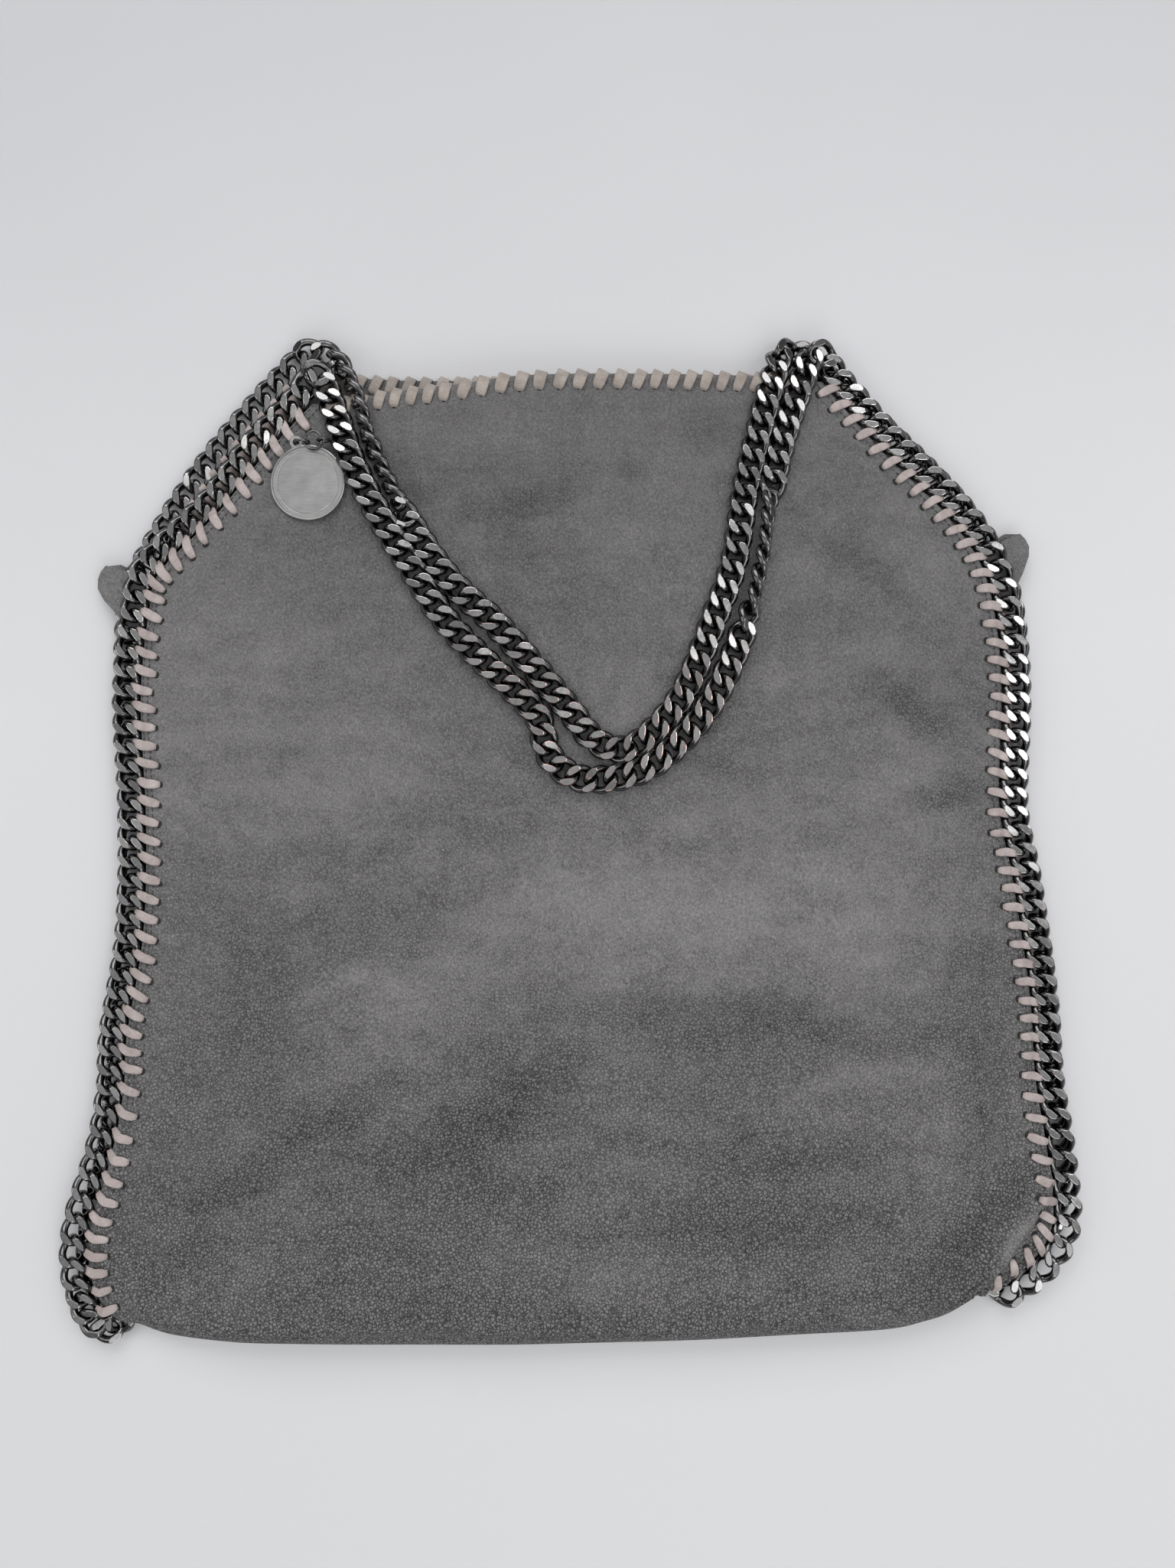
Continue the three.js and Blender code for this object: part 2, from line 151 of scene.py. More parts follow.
MATERIALS = {}


def clamp(t):
    return np.clip(t, 0.0, 1.0)


def smooth(t):
    return clamp(t) ** 2 * (3 - 2 * clamp(t))


def unit(v):
    return v / np.linalg.norm(v, axis=-1, keepdims=True)


def mix(a, b, t):
    return a * (1 - t) + b * t


# ---- camera and light ----
def make_camera():
    data = bpy.data.cameras.new("camera")
    data.sensor_width = 36
    data.lens = 27.6
    data.clip_start = 0.02
    camera = bpy.data.objects.new("camera", data)
    camera.location = (5.94 * MM, 22.64 * MM, 453 * MM)
    bpy.context.scene.collection.objects.link(camera)
    bpy.context.scene.camera = camera


def area_light(name, place, aim, size, power):
    data = bpy.data.lights.new(name, "AREA")
    data.shape = "RECTANGLE"
    data.size, data.size_y = size
    data.energy = power
    light = bpy.data.objects.new(name, data)
    light.location = place
    light.rotation_euler = (Vector(aim) - Vector(place)).to_track_quat("-Z", "Y").to_euler()
    bpy.context.scene.collection.objects.link(light)


# Small bright panels that some of the flat link faces mirror: x, y, width, length and power.
GLINTS = [
    (0.61, 0.08, 0.28, 0.40, 1.5), (0.39, 0.54, 0.06, 0.07, 0.07), (-0.415, 0.55, 0.05, 0.05, 0.05),
    (-0.16, 0.30, 0.06, 0.07, 0.07), (0.18, 0.245, 0.09, 0.13, 0.17), (0.24, 0.535, 0.06, 0.06, 0.06),
]


def make_studio():
    area_light("key", (-0.1, 1.35, 1.15), (0, 0, 0), (1.9, 1.0), 18)
    area_light("fill", (0.35, -1.2, 1.2), (0, 0, 0), (1.5, 0.9), 9)
    area_light("right_side", (1.3, 0.1, 0.95), (0, 0, 0), (0.8, 1.0), 3.0)
    area_light("left_side", (-1.3, -0.1, 0.95), (0, 0, 0), (0.8, 1.0), 4.2)
    for number, (x, y, width, length, power) in enumerate(GLINTS):
        area_light(f"glint_{number}", (x, y, 1.25), (x * 0.25, y * 0.25, 0), (width, length), power)
    world = bpy.data.worlds.new("studio")
    world.use_nodes = True
    tree = world.node_tree
    direction = add_node(tree, "ShaderNodeTexCoord").outputs["Generated"]
    height = add_node(tree, "ShaderNodeSeparateXYZ", {"Vector": direction}).outputs["Z"]
    sky = ramp(tree, height, [(0.0, (0.56, 0.565, 0.575)), (0.12, (0.50, 0.505, 0.515)), (0.32, 0.10),
                              (0.72, 0.14), (0.85, (0.56, 0.565, 0.58)), (1.0, (0.68, 0.685, 0.70))])
    tree.links.new(sky, tree.nodes["Background"].inputs["Color"])
    bpy.context.scene.world = world
    bpy.context.scene.view_settings.view_transform = "Standard"


# ---- materials ----
def add_node(tree, kind, inputs=None, **settings):
    node = tree.nodes.new(kind)
    for key, value in settings.items():
        setattr(node, key, value)
    for key, value in (inputs or {}).items():
        if isinstance(value, bpy.types.NodeSocket):
            tree.links.new(value, node.inputs[key])
        else:
            node.inputs[key].default_value = value
    return node


def new_material(name):
    material = bpy.data.materials.new(name)
    material.use_nodes = True
    tree = material.node_tree
    shader = tree.nodes["Principled BSDF"]
    MATERIALS[name] = material
    return tree, shader


def noise(tree, place, scale, detail=3.0, roughness=0.55):
    inputs = {"Vector": place, "Scale": scale, "Detail": detail, "Roughness": roughness}
    return add_node(tree, "ShaderNodeTexNoise", inputs).outputs["Fac"]


def ramp(tree, value, stops):
    node = add_node(tree, "ShaderNodeValToRGB", {"Fac": value})
    elements = node.color_ramp.elements
    while len(elements) < len(stops):
        elements.new(0.5)
    for element, (position, colour) in zip(elements, stops):
        element.position = position
        element.color = (*colour, 1) if hasattr(colour, "__len__") else (colour, colour, colour, 1)
    return node.outputs["Color"]


def calc(tree, operation, a, b):
    node = add_node(tree, "ShaderNodeMath", operation=operation)
    for socket, value in zip(node.inputs, (a, b)):
        if isinstance(value, bpy.types.NodeSocket):
            tree.links.new(value, socket)
        else:
            socket.default_value = value
    return node.outputs["Value"]


def blend_colour(tree, factor, a, b, mode="MIX"):
    node = add_node(tree, "ShaderNodeMix", data_type="RGBA", blend_type=mode)
    for key, value in (("Factor", factor), ("A", a), ("B", b)):
        socket = next(s for s in node.inputs if s.name == key and (s.type == "RGBA") == (key != "Factor"))
        if isinstance(value, bpy.types.NodeSocket):
            tree.links.new(value, socket)
        else:
            socket.default_value = value
    return next(s for s in node.outputs if s.type == "RGBA")


def stretched(tree, place, scale, rotation=(0, 0, 0)):
    inputs = {"Vector": place, "Scale": scale, "Rotation": rotation}
    return add_node(tree, "ShaderNodeMapping", inputs).outputs["Vector"]


def bump(tree, shader, height, distance, strength=1.0):
    node = add_node(tree, "ShaderNodeBump", {"Height": height, "Distance": distance, "Strength": strength})
    tree.links.new(node.outputs["Normal"], shader.inputs["Normal"])


def object_place(tree):
    return add_node(tree, "ShaderNodeTexCoord").outputs["Object"]


# Where the suede is lighter or darker: x, y, half length, half width, turn in degrees, and lighter or darker.
# Some marks are nap lying differently. The rest are painted shade and painted highlight: shadows along folds,
# creases and the pucker by the right edge, the lit ridge and dark flank of the lower-right fold, and a broad
# painted shade over the upper part.
NAP_AND_SHADE_MARKS = [
    # Painted shade and highlight among these: (75, -66) the shadow under the fold at the right, (0, -178) the
    # dark band along the rolled base, (150, -95) the pucker's shadow, (0, 128) a broad shade over the upper
    # part, and (164, -145) with (172, -152) the lit ridge and dark flank of the lower-right fold.
    (75, -66, 92, 13, -4, -0.10), (-30, -98, 56, 16, 28, -0.13), (-105, -112, 70, 11, 33, -0.10),
    (0, -178, 190, 14, 1, -0.04), (147, -141, 38, 12, 50, -0.16), (128, 46, 34, 9, -32, -0.12),
    (140, 20, 26, 8, 12, -0.09), (-66, -62, 50, 28, 20, 0.07), (20, -18, 110, 30, -4, 0.06),
    (60, -140, 70, 14, 4, -0.06), (-96, 70, 40, 18, 50, 0.02), (104, 104, 46, 8, -38, -0.07),
    (-140, -150, 30, 10, 20, -0.07), (150, -95, 12, 34, 0, -0.10), (30, 120, 46, 18, 60, 0.04),
    (100, -88, 54, 8, 8, 0.05), (-16, 128, 30, 8, 10, -0.06), (64, -112, 80, 9, 2, -0.06),
    (0, 128, 240, 120, 0, -0.14), (164, -145, 26, 5, 56, 0.14), (172, -152, 24, 4, 52, -0.14),
    (141, -109, 26, 24, 0, 0.05), (150, 20, 40, 100, 0, -0.05), (-20, -150, 190, 34, 0, 0.03),
]


def nap_and_shade_mark(tree, place, x, y, length, width, turn):
    """A soft oval, 1 in its middle and 0 at its rim."""
    inputs = {
        "Vector": place, "Location": (x * MM, y * MM, 0), "Rotation": (0, 0, math.radians(turn)),
        "Scale": (length * MM, width * MM, 1),
    }
    moved = add_node(tree, "ShaderNodeMapping", inputs, vector_type="TEXTURE").outputs["Vector"]
    gradient = add_node(tree, "ShaderNodeTexGradient", {"Vector": moved}, gradient_type="SPHERICAL")
    return ramp(tree, gradient.outputs["Fac"], [(0.0, 0.0), (0.35, 0.45), (0.8, 1.0)])


def warped(tree, place, scale, distance):
    """The place, moved about by noise."""
    inputs = {"Vector": place, "Scale": scale, "Detail": 3.0}
    colour = add_node(tree, "ShaderNodeTexNoise", inputs).outputs["Color"]
    centred = add_node(tree, "ShaderNodeVectorMath", {0: colour, 1: (0.5, 0.5, 0.5)}, operation="SUBTRACT")
    inputs = {0: centred.outputs["Vector"], 1: (distance, distance, distance), 2: place}
    return add_node(tree, "ShaderNodeVectorMath", inputs, operation="MULTIPLY_ADD").outputs["Vector"]


def suede_material():
    """Nubuck-like faux suede: a brushed nap, with a pitted pebble grain that shows where the nap is thin. Its
    tone also carries painted shade and painted highlights from the marks above.
    """
    tree, shader = new_material("suede")
    place = object_place(tree)
    patches = noise(tree, place, 12, 3, 0.6)
    brushed = noise(tree, stretched(tree, place, (18, 62, 30), (0, 0, 0.45)), 1, 4, 0.6)
    mottling = noise(tree, place, 110, 5, 0.72)
    fibres = noise(tree, stretched(tree, place, (1.0, 0.6, 1.0), (0, 0, 0.6)), 2100, 3, 0.65)
    specks = noise(tree, place, 900, 2, 0.7)
    tone_and_painted_light = calc(tree, "ADD", calc(tree, "MULTIPLY", patches, 0.26), calc(tree, "MULTIPLY", brushed, 0.24))
    tone_and_painted_light = calc(tree, "ADD", tone_and_painted_light, calc(tree, "MULTIPLY", mottling, 0.26))
    tone_and_painted_light = calc(tree, "ADD", tone_and_painted_light, 0.12)
    cloudy = warped(tree, place, 24, 0.022)
    # Each mark lightens or darkens the tone: nap marks, and painted shade and painted highlights.
    for *where, strength in NAP_AND_SHADE_MARKS:
        mark = nap_and_shade_mark(tree, cloudy, *where)
        inputs = {0: mark, 1: strength, 2: tone_and_painted_light}
        tone_and_painted_light = add_node(tree, "ShaderNodeMath", inputs, operation="MULTIPLY_ADD").outputs[0]
    cells = add_node(
        tree, "ShaderNodeTexVoronoi", {"Vector": warped(tree, place, 700, 0.0007), "Scale": 800},
        feature="DISTANCE_TO_EDGE",
    ).outputs["Distance"]
    broken = calc(tree, "ADD", cells, calc(tree, "MULTIPLY", calc(tree, "SUBTRACT", specks, 0.5), 0.30))
    pits = ramp(tree, broken, [(0.02, 0.0), (0.19, 1.0)])
    height = add_node(tree, "ShaderNodeSeparateXYZ", {"Vector": cloudy}).outputs["Y"]
    # The tone carries painted shade, so the pebble grain also shows more where shade is painted.
    worn = calc(tree, "ADD", calc(tree, "MULTIPLY", height, 1.3), tone_and_painted_light)
    grain_share = ramp(tree, worn, [(0.26, 1.0), (0.42, 0.62), (0.56, 0.14)])
    base = ramp(tree, tone_and_painted_light, [(0.26, (0.107, 0.104, 0.106)), (0.49, (0.170, 0.1655, 0.167)),
                             (0.68, (0.236, 0.230, 0.229))])
    speckle = ramp(tree, fibres, [(0.28, 0.60), (0.5, 1.0), (0.74, 1.5)])
    base = blend_colour(tree, 0.8, base, speckle, "MULTIPLY")
    speckle = ramp(tree, specks, [(0.25, 0.6), (0.5, 1.0), (0.75, 1.4)])
    base = blend_colour(tree, 0.5, base, speckle, "MULTIPLY")
    pitted = blend_colour(tree, 1.0, base, ramp(tree, broken, [(0.02, 0.30), (0.20, 1.12)]), "MULTIPLY")
    colour = blend_colour(tree, grain_share, base, pitted)
    tree.links.new(colour, shader.inputs["Base Color"])
    tree.links.new(ramp(tree, tone_and_painted_light, [(0.35, 0.84), (0.65, 0.97)]), shader.inputs["Roughness"])
    shader.inputs["Specular IOR Level"].default_value = 0.2
    shader.inputs["Sheen Weight"].default_value = 0.16
    shader.inputs["Sheen Roughness"].default_value = 0.5
    shader.inputs["Sheen Tint"].default_value = (0.84, 0.82, 0.82, 1)
    rough_nap = calc(tree, "ADD", calc(tree, "MULTIPLY", fibres, 0.6), calc(tree, "MULTIPLY", specks, 0.6))
    grain = calc(tree, "MULTIPLY", pits, grain_share)
    bump(tree, shader, calc(tree, "ADD", rough_nap, grain), 0.00038, 0.9)


def lace_material(name, dark, middle, light):
    """Thin smooth leather strip with fine pores and dull marks."""
    tree, shader = new_material(name)
    place = object_place(tree)
    wear = noise(tree, place, 160, 4, 0.6)
    pores = noise(tree, place, 1700, 2, 0.5)
    colour = ramp(tree, wear, [(0.3, dark), (0.55, middle), (0.8, light)])
    fine = ramp(tree, pores, [(0.3, 0.86), (0.7, 1.08)])
    tree.links.new(blend_colour(tree, 1.0, colour, fine, "MULTIPLY"), shader.inputs["Base Color"])
    tree.links.new(ramp(tree, wear, [(0.3, 0.62), (0.8, 0.5)]), shader.inputs["Roughness"])
    shader.inputs["Specular IOR Level"].default_value = 0.35
    bump(tree, shader, pores, 0.00012, 0.7)


def hole_material():
    # Near-black colour, painted as the shade inside the lace holes.
    tree, shader = new_material("hole_shadow")
    place = object_place(tree)
    colour = ramp(tree, noise(tree, place, 900), [(0.3, (0.010, 0.009, 0.009)), (0.7, (0.03, 0.028, 0.028))])
    tree.links.new(colour, shader.inputs["Base Color"])
    shader.inputs["Roughness"].default_value = 0.9


def thread_material():
    tree, shader = new_material("thread")
    place = object_place(tree)
    colour = ramp(tree, noise(tree, place, 2500), [(0.3, (0.032, 0.032, 0.034)), (0.7, (0.07, 0.07, 0.072))])
    tree.links.new(colour, shader.inputs["Base Color"])
    shader.inputs["Roughness"].default_value = 0.75
    bump(tree, shader, noise(tree, place, 3500), 0.0001, 0.5)


def gunmetal_material():
    """Black-nickel plating: dark glossy wire, lightly clouded."""
    tree, shader = new_material("gunmetal")
    place = object_place(tree)
    cloud = noise(tree, place, 420, 3, 0.6)
    fine = noise(tree, place, 2600, 2, 0.5)
    colour = ramp(tree, cloud, [(0.3, (0.095, 0.093, 0.093)), (0.7, (0.17, 0.168, 0.169))])
    tree.links.new(colour, shader.inputs["Base Color"])
    shader.inputs["Metallic"].default_value = 1.0
    tree.links.new(ramp(tree, cloud, [(0.25, 0.13), (0.75, 0.22)]), shader.inputs["Roughness"])
    bump(tree, shader, fine, 0.000008, 0.4)


def facet_material():
    """The flat diamond-cut faces of the links: brighter, lightly clouded, with coppery worn rims. Each link's
    facets get a random brightness that is partly plating tone and partly painted glint, standing in for how
    much light each facet catches.
    """
    tree, shader = new_material("gunmetal_facet")
    place = object_place(tree)
    cloud = noise(tree, place, 520, 3, 0.6)
    tone_and_painted_light = add_node(tree, "ShaderNodeAttribute", attribute_name="tone_and_painted_light").outputs["Fac"]
    wear = add_node(tree, "ShaderNodeAttribute", attribute_name="wear").outputs["Fac"]
    plate = ramp(tree, tone_and_painted_light, [(0.0, (0.21, 0.207, 0.208)), (1.0, (0.50, 0.493, 0.485))])
    plate = blend_colour(tree, 1.0, plate, ramp(tree, cloud, [(0.3, 0.86), (0.7, 1.08)]), "MULTIPLY")
    worn = calc(tree, "MULTIPLY", wear, ramp(tree, cloud, [(0.38, 0.0), (0.56, 1.0)]))
    colour = blend_colour(tree, worn, plate, (0.62, 0.30, 0.215, 1))
    tree.links.new(colour, shader.inputs["Base Color"])
    shader.inputs["Metallic"].default_value = 1.0
    tree.links.new(ramp(tree, cloud, [(0.3, 0.10), (0.8, 0.17)]), shader.inputs["Roughness"])


def silver_material():
    tree, shader = new_material("tag_silver")
    place = object_place(tree)
    brushed = noise(tree, stretched(tree, place, (260, 7000, 260), (0, 0, 0.35)), 1, 3, 0.6)
    cloud = noise(tree, place, 120, 3, 0.6)
    colour = ramp(tree, cloud, [(0.3, (0.31, 0.308, 0.302)), (0.7, (0.41, 0.408, 0.402))])
    fine = ramp(tree, brushed, [(0.3, 0.84), (0.7, 1.1)])
    tree.links.new(blend_colour(tree, 1.0, colour, fine, "MULTIPLY"), shader.inputs["Base Color"])
    shader.inputs["Metallic"].default_value = 1.0
    tree.links.new(ramp(tree, brushed, [(0.3, 0.34), (0.7, 0.46)]), shader.inputs["Roughness"])
    bump(tree, shader, brushed, 0.000015, 0.4)


def woven_material(name, dark, light, threads_per_metre, roughness=0.75):
    """Plain-woven cloth from two crossed sets of ribs."""
    tree, shader = new_material(name)
    place = object_place(tree)
    wobble = noise(tree, place, 60, 2, 0.5)
    shifted = add_node(tree, "ShaderNodeVectorMath", {0: place}, operation="ADD")
    tree.links.new(calc(tree, "MULTIPLY", wobble, 0.002), shifted.inputs[1])
    ribs = []
    for direction in ("X", "Y"):
        inputs = {"Vector": shifted.outputs["Vector"], "Scale": threads_per_metre / 20.0, "Distortion": 0.3}
        node = add_node(tree, "ShaderNodeTexWave", inputs, bands_direction=direction)
        ribs.append(node.outputs["Fac"])
    weave = calc(tree, "MULTIPLY", ribs[0], ribs[1])
    patchy = noise(tree, place, 45, 3, 0.6)
    shade = calc(tree, "ADD", calc(tree, "MULTIPLY", weave, 0.7), calc(tree, "MULTIPLY", patchy, 0.4))
    tree.links.new(ramp(tree, shade, [(0.15, dark), (0.85, light)]), shader.inputs["Base Color"])
    shader.inputs["Roughness"].default_value = roughness
    shader.inputs["Sheen Weight"].default_value = 0.12
    bump(tree, shader, weave, 0.0001, 0.6)


def floor_material():
    """A plain matt tabletop, with painted shade that makes it slightly darker towards the back."""
    tree, shader = new_material("floor")
    place = object_place(tree)
    # Painted shade: the colour darkens towards the back.
    inputs = {0: place, 1: (0.15, -1.5, 0)}
    shade_slope = add_node(tree, "ShaderNodeVectorMath", inputs, operation="DOT_PRODUCT").outputs["Value"]
    cloud = calc(tree, "MULTIPLY", noise(tree, place, 5, 2), 0.12)
    colour = ramp(tree, calc(tree, "ADD", calc(tree, "ADD", shade_slope, 0.44), cloud),
                  [(0.0, (0.550, 0.553, 0.568)), (0.41, (0.690, 0.692, 0.706)), (0.8, (0.690, 0.692, 0.700))])
    tree.links.new(colour, shader.inputs["Base Color"])
    shader.inputs["Roughness"].default_value = 0.6
    shader.inputs["Specular IOR Level"].default_value = 0.2


# ---- curves and meshes ----
class Path:
    """A smooth line through points, measured along its length."""

    def __init__(self, points, per_span=16):
        points = np.array(points, float)
        padded = np.vstack([points[:1], points, points[-1:]])
        t = np.linspace(0, 1, per_span, endpoint=False)[:, None]
        spans = []
        for p0, p1, p2, p3 in zip(padded, padded[1:], padded[2:], padded[3:]):
            m1, m2 = (p2 - p0) / 2, (p3 - p1) / 2
            cubic = 2 * p1 - 2 * p2 + m1 + m2
            square = -3 * p1 + 3 * p2 - 2 * m1 - m2
            spans.append(cubic * t**3 + square * t**2 + m1 * t + p1)
        self.points = np.vstack([*spans, points[-1:]])
        self.marks = np.concatenate([[0], np.cumsum(np.linalg.norm(np.diff(self.points, axis=0), axis=1))])
        self.length = self.marks[-1]

    def at(self, s):
        columns = [np.interp(s, self.marks, self.points[:, k]) for k in range(self.points.shape[1])]
        return np.stack(columns, -1)

    def tangent(self, s, reach=1.5):
        ahead = self.at(np.minimum(s + reach, self.length))
        behind = self.at(np.maximum(s - reach, 0))
        return unit(ahead - behind)

    def nearest(self, point):
        """The mark of the place on the path nearest to a point."""
        distances = np.linalg.norm(self.points - np.array(point, float), axis=1)
        return self.marks[int(np.argmin(distances))]

    def beside(self, s, distance):
        """The place beside the path, to the right of its direction."""
        t = self.tangent(s)
        return self.at(s) + distance * np.stack([t[..., 1], -t[..., 0]], -1)


def mesh_object(name, vertices, faces, material):
    mesh = bpy.data.meshes.new(name)
    mesh.from_pydata((np.asarray(vertices, float) * MM).tolist(), [], [list(map(int, f)) for f in faces])
    mesh.polygons.foreach_set("use_smooth", [True] * len(mesh.polygons))
    mesh.materials.append(MATERIALS[material])
    mesh.update()
    piece = bpy.data.objects.new(name, mesh)
    bpy.context.scene.collection.objects.link(piece)
    return piece


def grid_faces(rows, columns, flip=False):
    corner = (np.arange(rows - 1)[:, None] * columns + np.arange(columns - 1)).ravel()
    quads = np.stack([corner, corner + 1, corner + columns + 1, corner + columns], -1)
    return quads[:, ::-1] if flip else quads


def grid_normals(grid):
    return unit(np.cross(np.gradient(grid, axis=1), np.gradient(grid, axis=0)))


def refined(grid):
    """The grid with one more point between every two, on a smooth surface through the same points."""
    for axis in (0, 1):
        g = np.moveaxis(grid, axis, 0)
        before = np.concatenate([2 * g[:1] - g[1:2], g[:-2]])
        after = np.concatenate([g[2:], 2 * g[-1:] - g[-2:-1]])
        middle = (9 * (g[:-1] + g[1:]) - before - after) / 16
        out = np.empty((2 * len(g) - 1, *g.shape[1:]))
        out[0::2], out[1::2] = g, middle
        grid = np.moveaxis(out, 0, axis)
    return grid


def cloth_piece(name, grid, thickness, material):
    """A closed sheet. grid is its outer face, and its normals point out."""
    rows, columns = grid.shape[:2]
    inner = grid - thickness * grid_normals(grid)
    count = rows * columns
    outer_faces = grid_faces(rows, columns)
    faces = [outer_faces, grid_faces(rows, columns, flip=True) + count]
    index = np.arange(count).reshape(rows, columns)
    rim = np.concatenate([index[0, :-1], index[:-1, -1], index[-1, :0:-1], index[:0:-1, 0]])
    ahead = np.roll(rim, -1)
    faces.append(np.stack([ahead, rim, rim + count, ahead + count], -1))
    vertices = np.concatenate([grid.reshape(-1, 3), inner.reshape(-1, 3)])
    vertices[:, 2] = np.maximum(vertices[:, 2], FLOOR_GAP)
    piece = mesh_object(name, vertices, np.concatenate(faces), material)
    piece.data.set_sharp_from_angle(angle=math.radians(50))
    return piece


def merge(parts):
    """Several (vertices, faces) as one."""
    vertices, faces, count = [], [], 0
    for part_vertices, part_faces in parts:
        vertices.append(part_vertices)
        faces.extend([[i + count for i in f] for f in part_faces])
        count += len(part_vertices)
    return np.concatenate(vertices), faces


def lathe(profile, steps=48):
    """A solid turned round Z from a profile of (radius, height) that closes on itself."""
    profile = np.array(profile, float)
    angles = np.linspace(0, 2 * math.pi, steps, endpoint=False)
    radii, heights = profile.T
    rings = [np.stack([radii * math.cos(a), radii * math.sin(a), heights], -1) for a in angles]
    n = len(profile)
    faces = []
    for i in range(steps):
        j = (i + 1) % steps
        faces += [[i * n + k, j * n + k, j * n + (k + 1) % n, i * n + (k + 1) % n] for k in range(n)]
    return np.concatenate(rings), faces


def placed(part, place):
    vertices, faces = part
    return vertices + np.array(place, float), faces


def tube(points, radius, sides=10, closed=False):
    """A round wire along points."""
    points = np.array(points, float)
    count = len(points)
    if closed:
        along = unit(np.roll(points, -1, 0) - np.roll(points, 1, 0))
    else:
        along = unit(np.gradient(points, axis=0))
    side = np.cross(along, UP)
    weak = np.linalg.norm(side, axis=1) < 0.2
    side[weak] = np.cross(along[weak], [1.0, 0.0, 0.0])
    side = unit(side)
    other = np.cross(side, along)
    angles = np.linspace(0, 2 * math.pi, sides, endpoint=False)
    ring = np.cos(angles)[None, :, None] * side[:, None] + np.sin(angles)[None, :, None] * other[:, None]
    vertices = (points[:, None] + radius * ring).reshape(-1, 3)
    faces = []
    for i in range(count if closed else count - 1):
        j = (i + 1) % count
        for k in range(sides):
            m = (k + 1) % sides
            faces.append([i * sides + k, i * sides + m, j * sides + m, j * sides + k])
    if not closed:
        faces.append(list(range(sides))[::-1])
        faces.append([(count - 1) * sides + k for k in range(sides)])
    return vertices, faces


# ---- the shape of the front ----
def fold_height(x, y, start, end, height, left, right):
    (sx, sy), (ex, ey) = start, end
    length = math.hypot(ex - sx, ey - sy)
    tx, ty = (ex - sx) / length, (ey - sy) / length
    along = ((x - sx) * tx + (y - sy) * ty) / length
    across = (y - sy) * tx - (x - sx) * ty
    fade = smooth((along + 0.15) / 0.35) * smooth((1.15 - along) / 0.35)
    return height * fade * np.exp(-((across / np.where(across > 0, left, right)) ** 2))


def wave_list():
    chance = random.Random(7)
    waves = []
    for _ in range(14):
        length = chance.uniform(55, 150)
        angle = chance.uniform(0, math.pi)
        size = 0.16 * (length / 100)
        waves.append((math.cos(angle) / length, math.sin(angle) / length, chance.uniform(0, 1), size))
    return waves


WAVES = wave_list()


def front_top(x, y):
    """The height of the front's outer face as designed, before the cloth settles."""
    half_width = BODY_HALF_W - np.maximum(0, y - SHOULDER_Y)
    side = smooth((half_width - np.abs(x)) / CROWN_REACH)
    z = FRONT_EDGE_Z + CROWN * side * (1 - 0.25 * smooth((y - 90) / 80)) + 1.5
    relief = sum(fold_height(x, y, *fold) for fold in FOLDS)
    relief = relief + sum(s * np.sin(2 * math.pi * (x * a + y * b + c)) for a, b, c, s in WAVES)
    return z + relief


def coons(left, right, lower, upper):
    """A grid of rows and columns inside four edges, each an array of places. Rows run from lower to upper."""
    rows, columns = len(left), len(lower)
    u = np.linspace(0, 1, columns)[None, :, None]
    v = np.linspace(0, 1, rows)[:, None, None]
    sides = mix(left[:, None], right[:, None], u)
    ends = mix(lower[None], upper[None], v)
    corners = mix(mix(left[0], right[0], u), mix(left[-1], right[-1], u), v)
    return sides + ends - corners


def shell_edges(left_points, right_points, mouth, margin, rows, columns, lower=None):
    left_path, right_path = Path(left_points), Path(right_points)
    left = left_path.beside(np.linspace(0, left_path.length, rows), margin)
    right = right_path.beside(np.linspace(0, right_path.length, rows), -margin)
    drop = max(0, margin - EDGE_INSET)
    inner = [[x, y - drop] for x, y in mouth]
    top_path = Path([left[-1], *inner, right[-1]])
    upper = top_path.at(np.linspace(0, top_path.length, columns))
    if lower is None:
        lower = mix(left[0], right[0], np.linspace(0, 1, columns)[:, None])
    return coons(left, right, lower, upper)


def front_grid(rows=118, columns=122, wrap=13, under=3):
    """The front's outer face as one sheet: mouth last, and the turn round the base first."""
    left_path, right_path = Path(FRONT_LEFT), Path(FRONT_RIGHT)
    first = left_path.beside(np.array(0.0), EDGE_INSET)
    last = right_path.beside(np.array(0.0), -EDGE_INSET)
    base_path = Path(BASE_LINE)
    share = np.linspace(0, 1, columns)
    base = base_path.at(share * base_path.length)
    roll = mix(4.2, 6.8, smooth(share / 0.1)) * mix(1.0, 0.45, smooth((share - 0.93) / 0.07))
    crest = base + np.stack([np.zeros(columns), roll], -1)
    start_pull = (1 - smooth(share / 0.04))[:, None]
    end_pull = smooth((share - 0.96) / 0.04)[:, None]
    crest = crest + start_pull * (first - crest[0]) + end_pull * (last - crest[-1])
    flat = shell_edges(FRONT_LEFT, FRONT_RIGHT, FRONT_MOUTH, EDGE_INSET, rows, columns, crest)
    top = np.dstack([flat, front_top(flat[..., 0], flat[..., 1])])
    crest_z = top[0, :, 2]
    low_z = 0.12
    turns = []
    for angle in np.linspace(math.pi, 0, wrap, endpoint=False):
        place = crest + (base - crest) * math.sin(angle)
        z = (crest_z + low_z) / 2 + (crest_z - low_z) / 2 * math.cos(angle)
        turns.append(np.column_stack([place, z]))
    below = []
    for step in range(under, 0, -1):
        inner_y = np.maximum(crest[:, 1] + 2.0, HINGE_Y)
        y = mix(crest[:, 1], inner_y, step / under)
        below.append(np.column_stack([crest[:, 0], y, np.full(columns, low_z)]))
    return np.concatenate([np.array(below), np.array(turns), top]), under + wrap


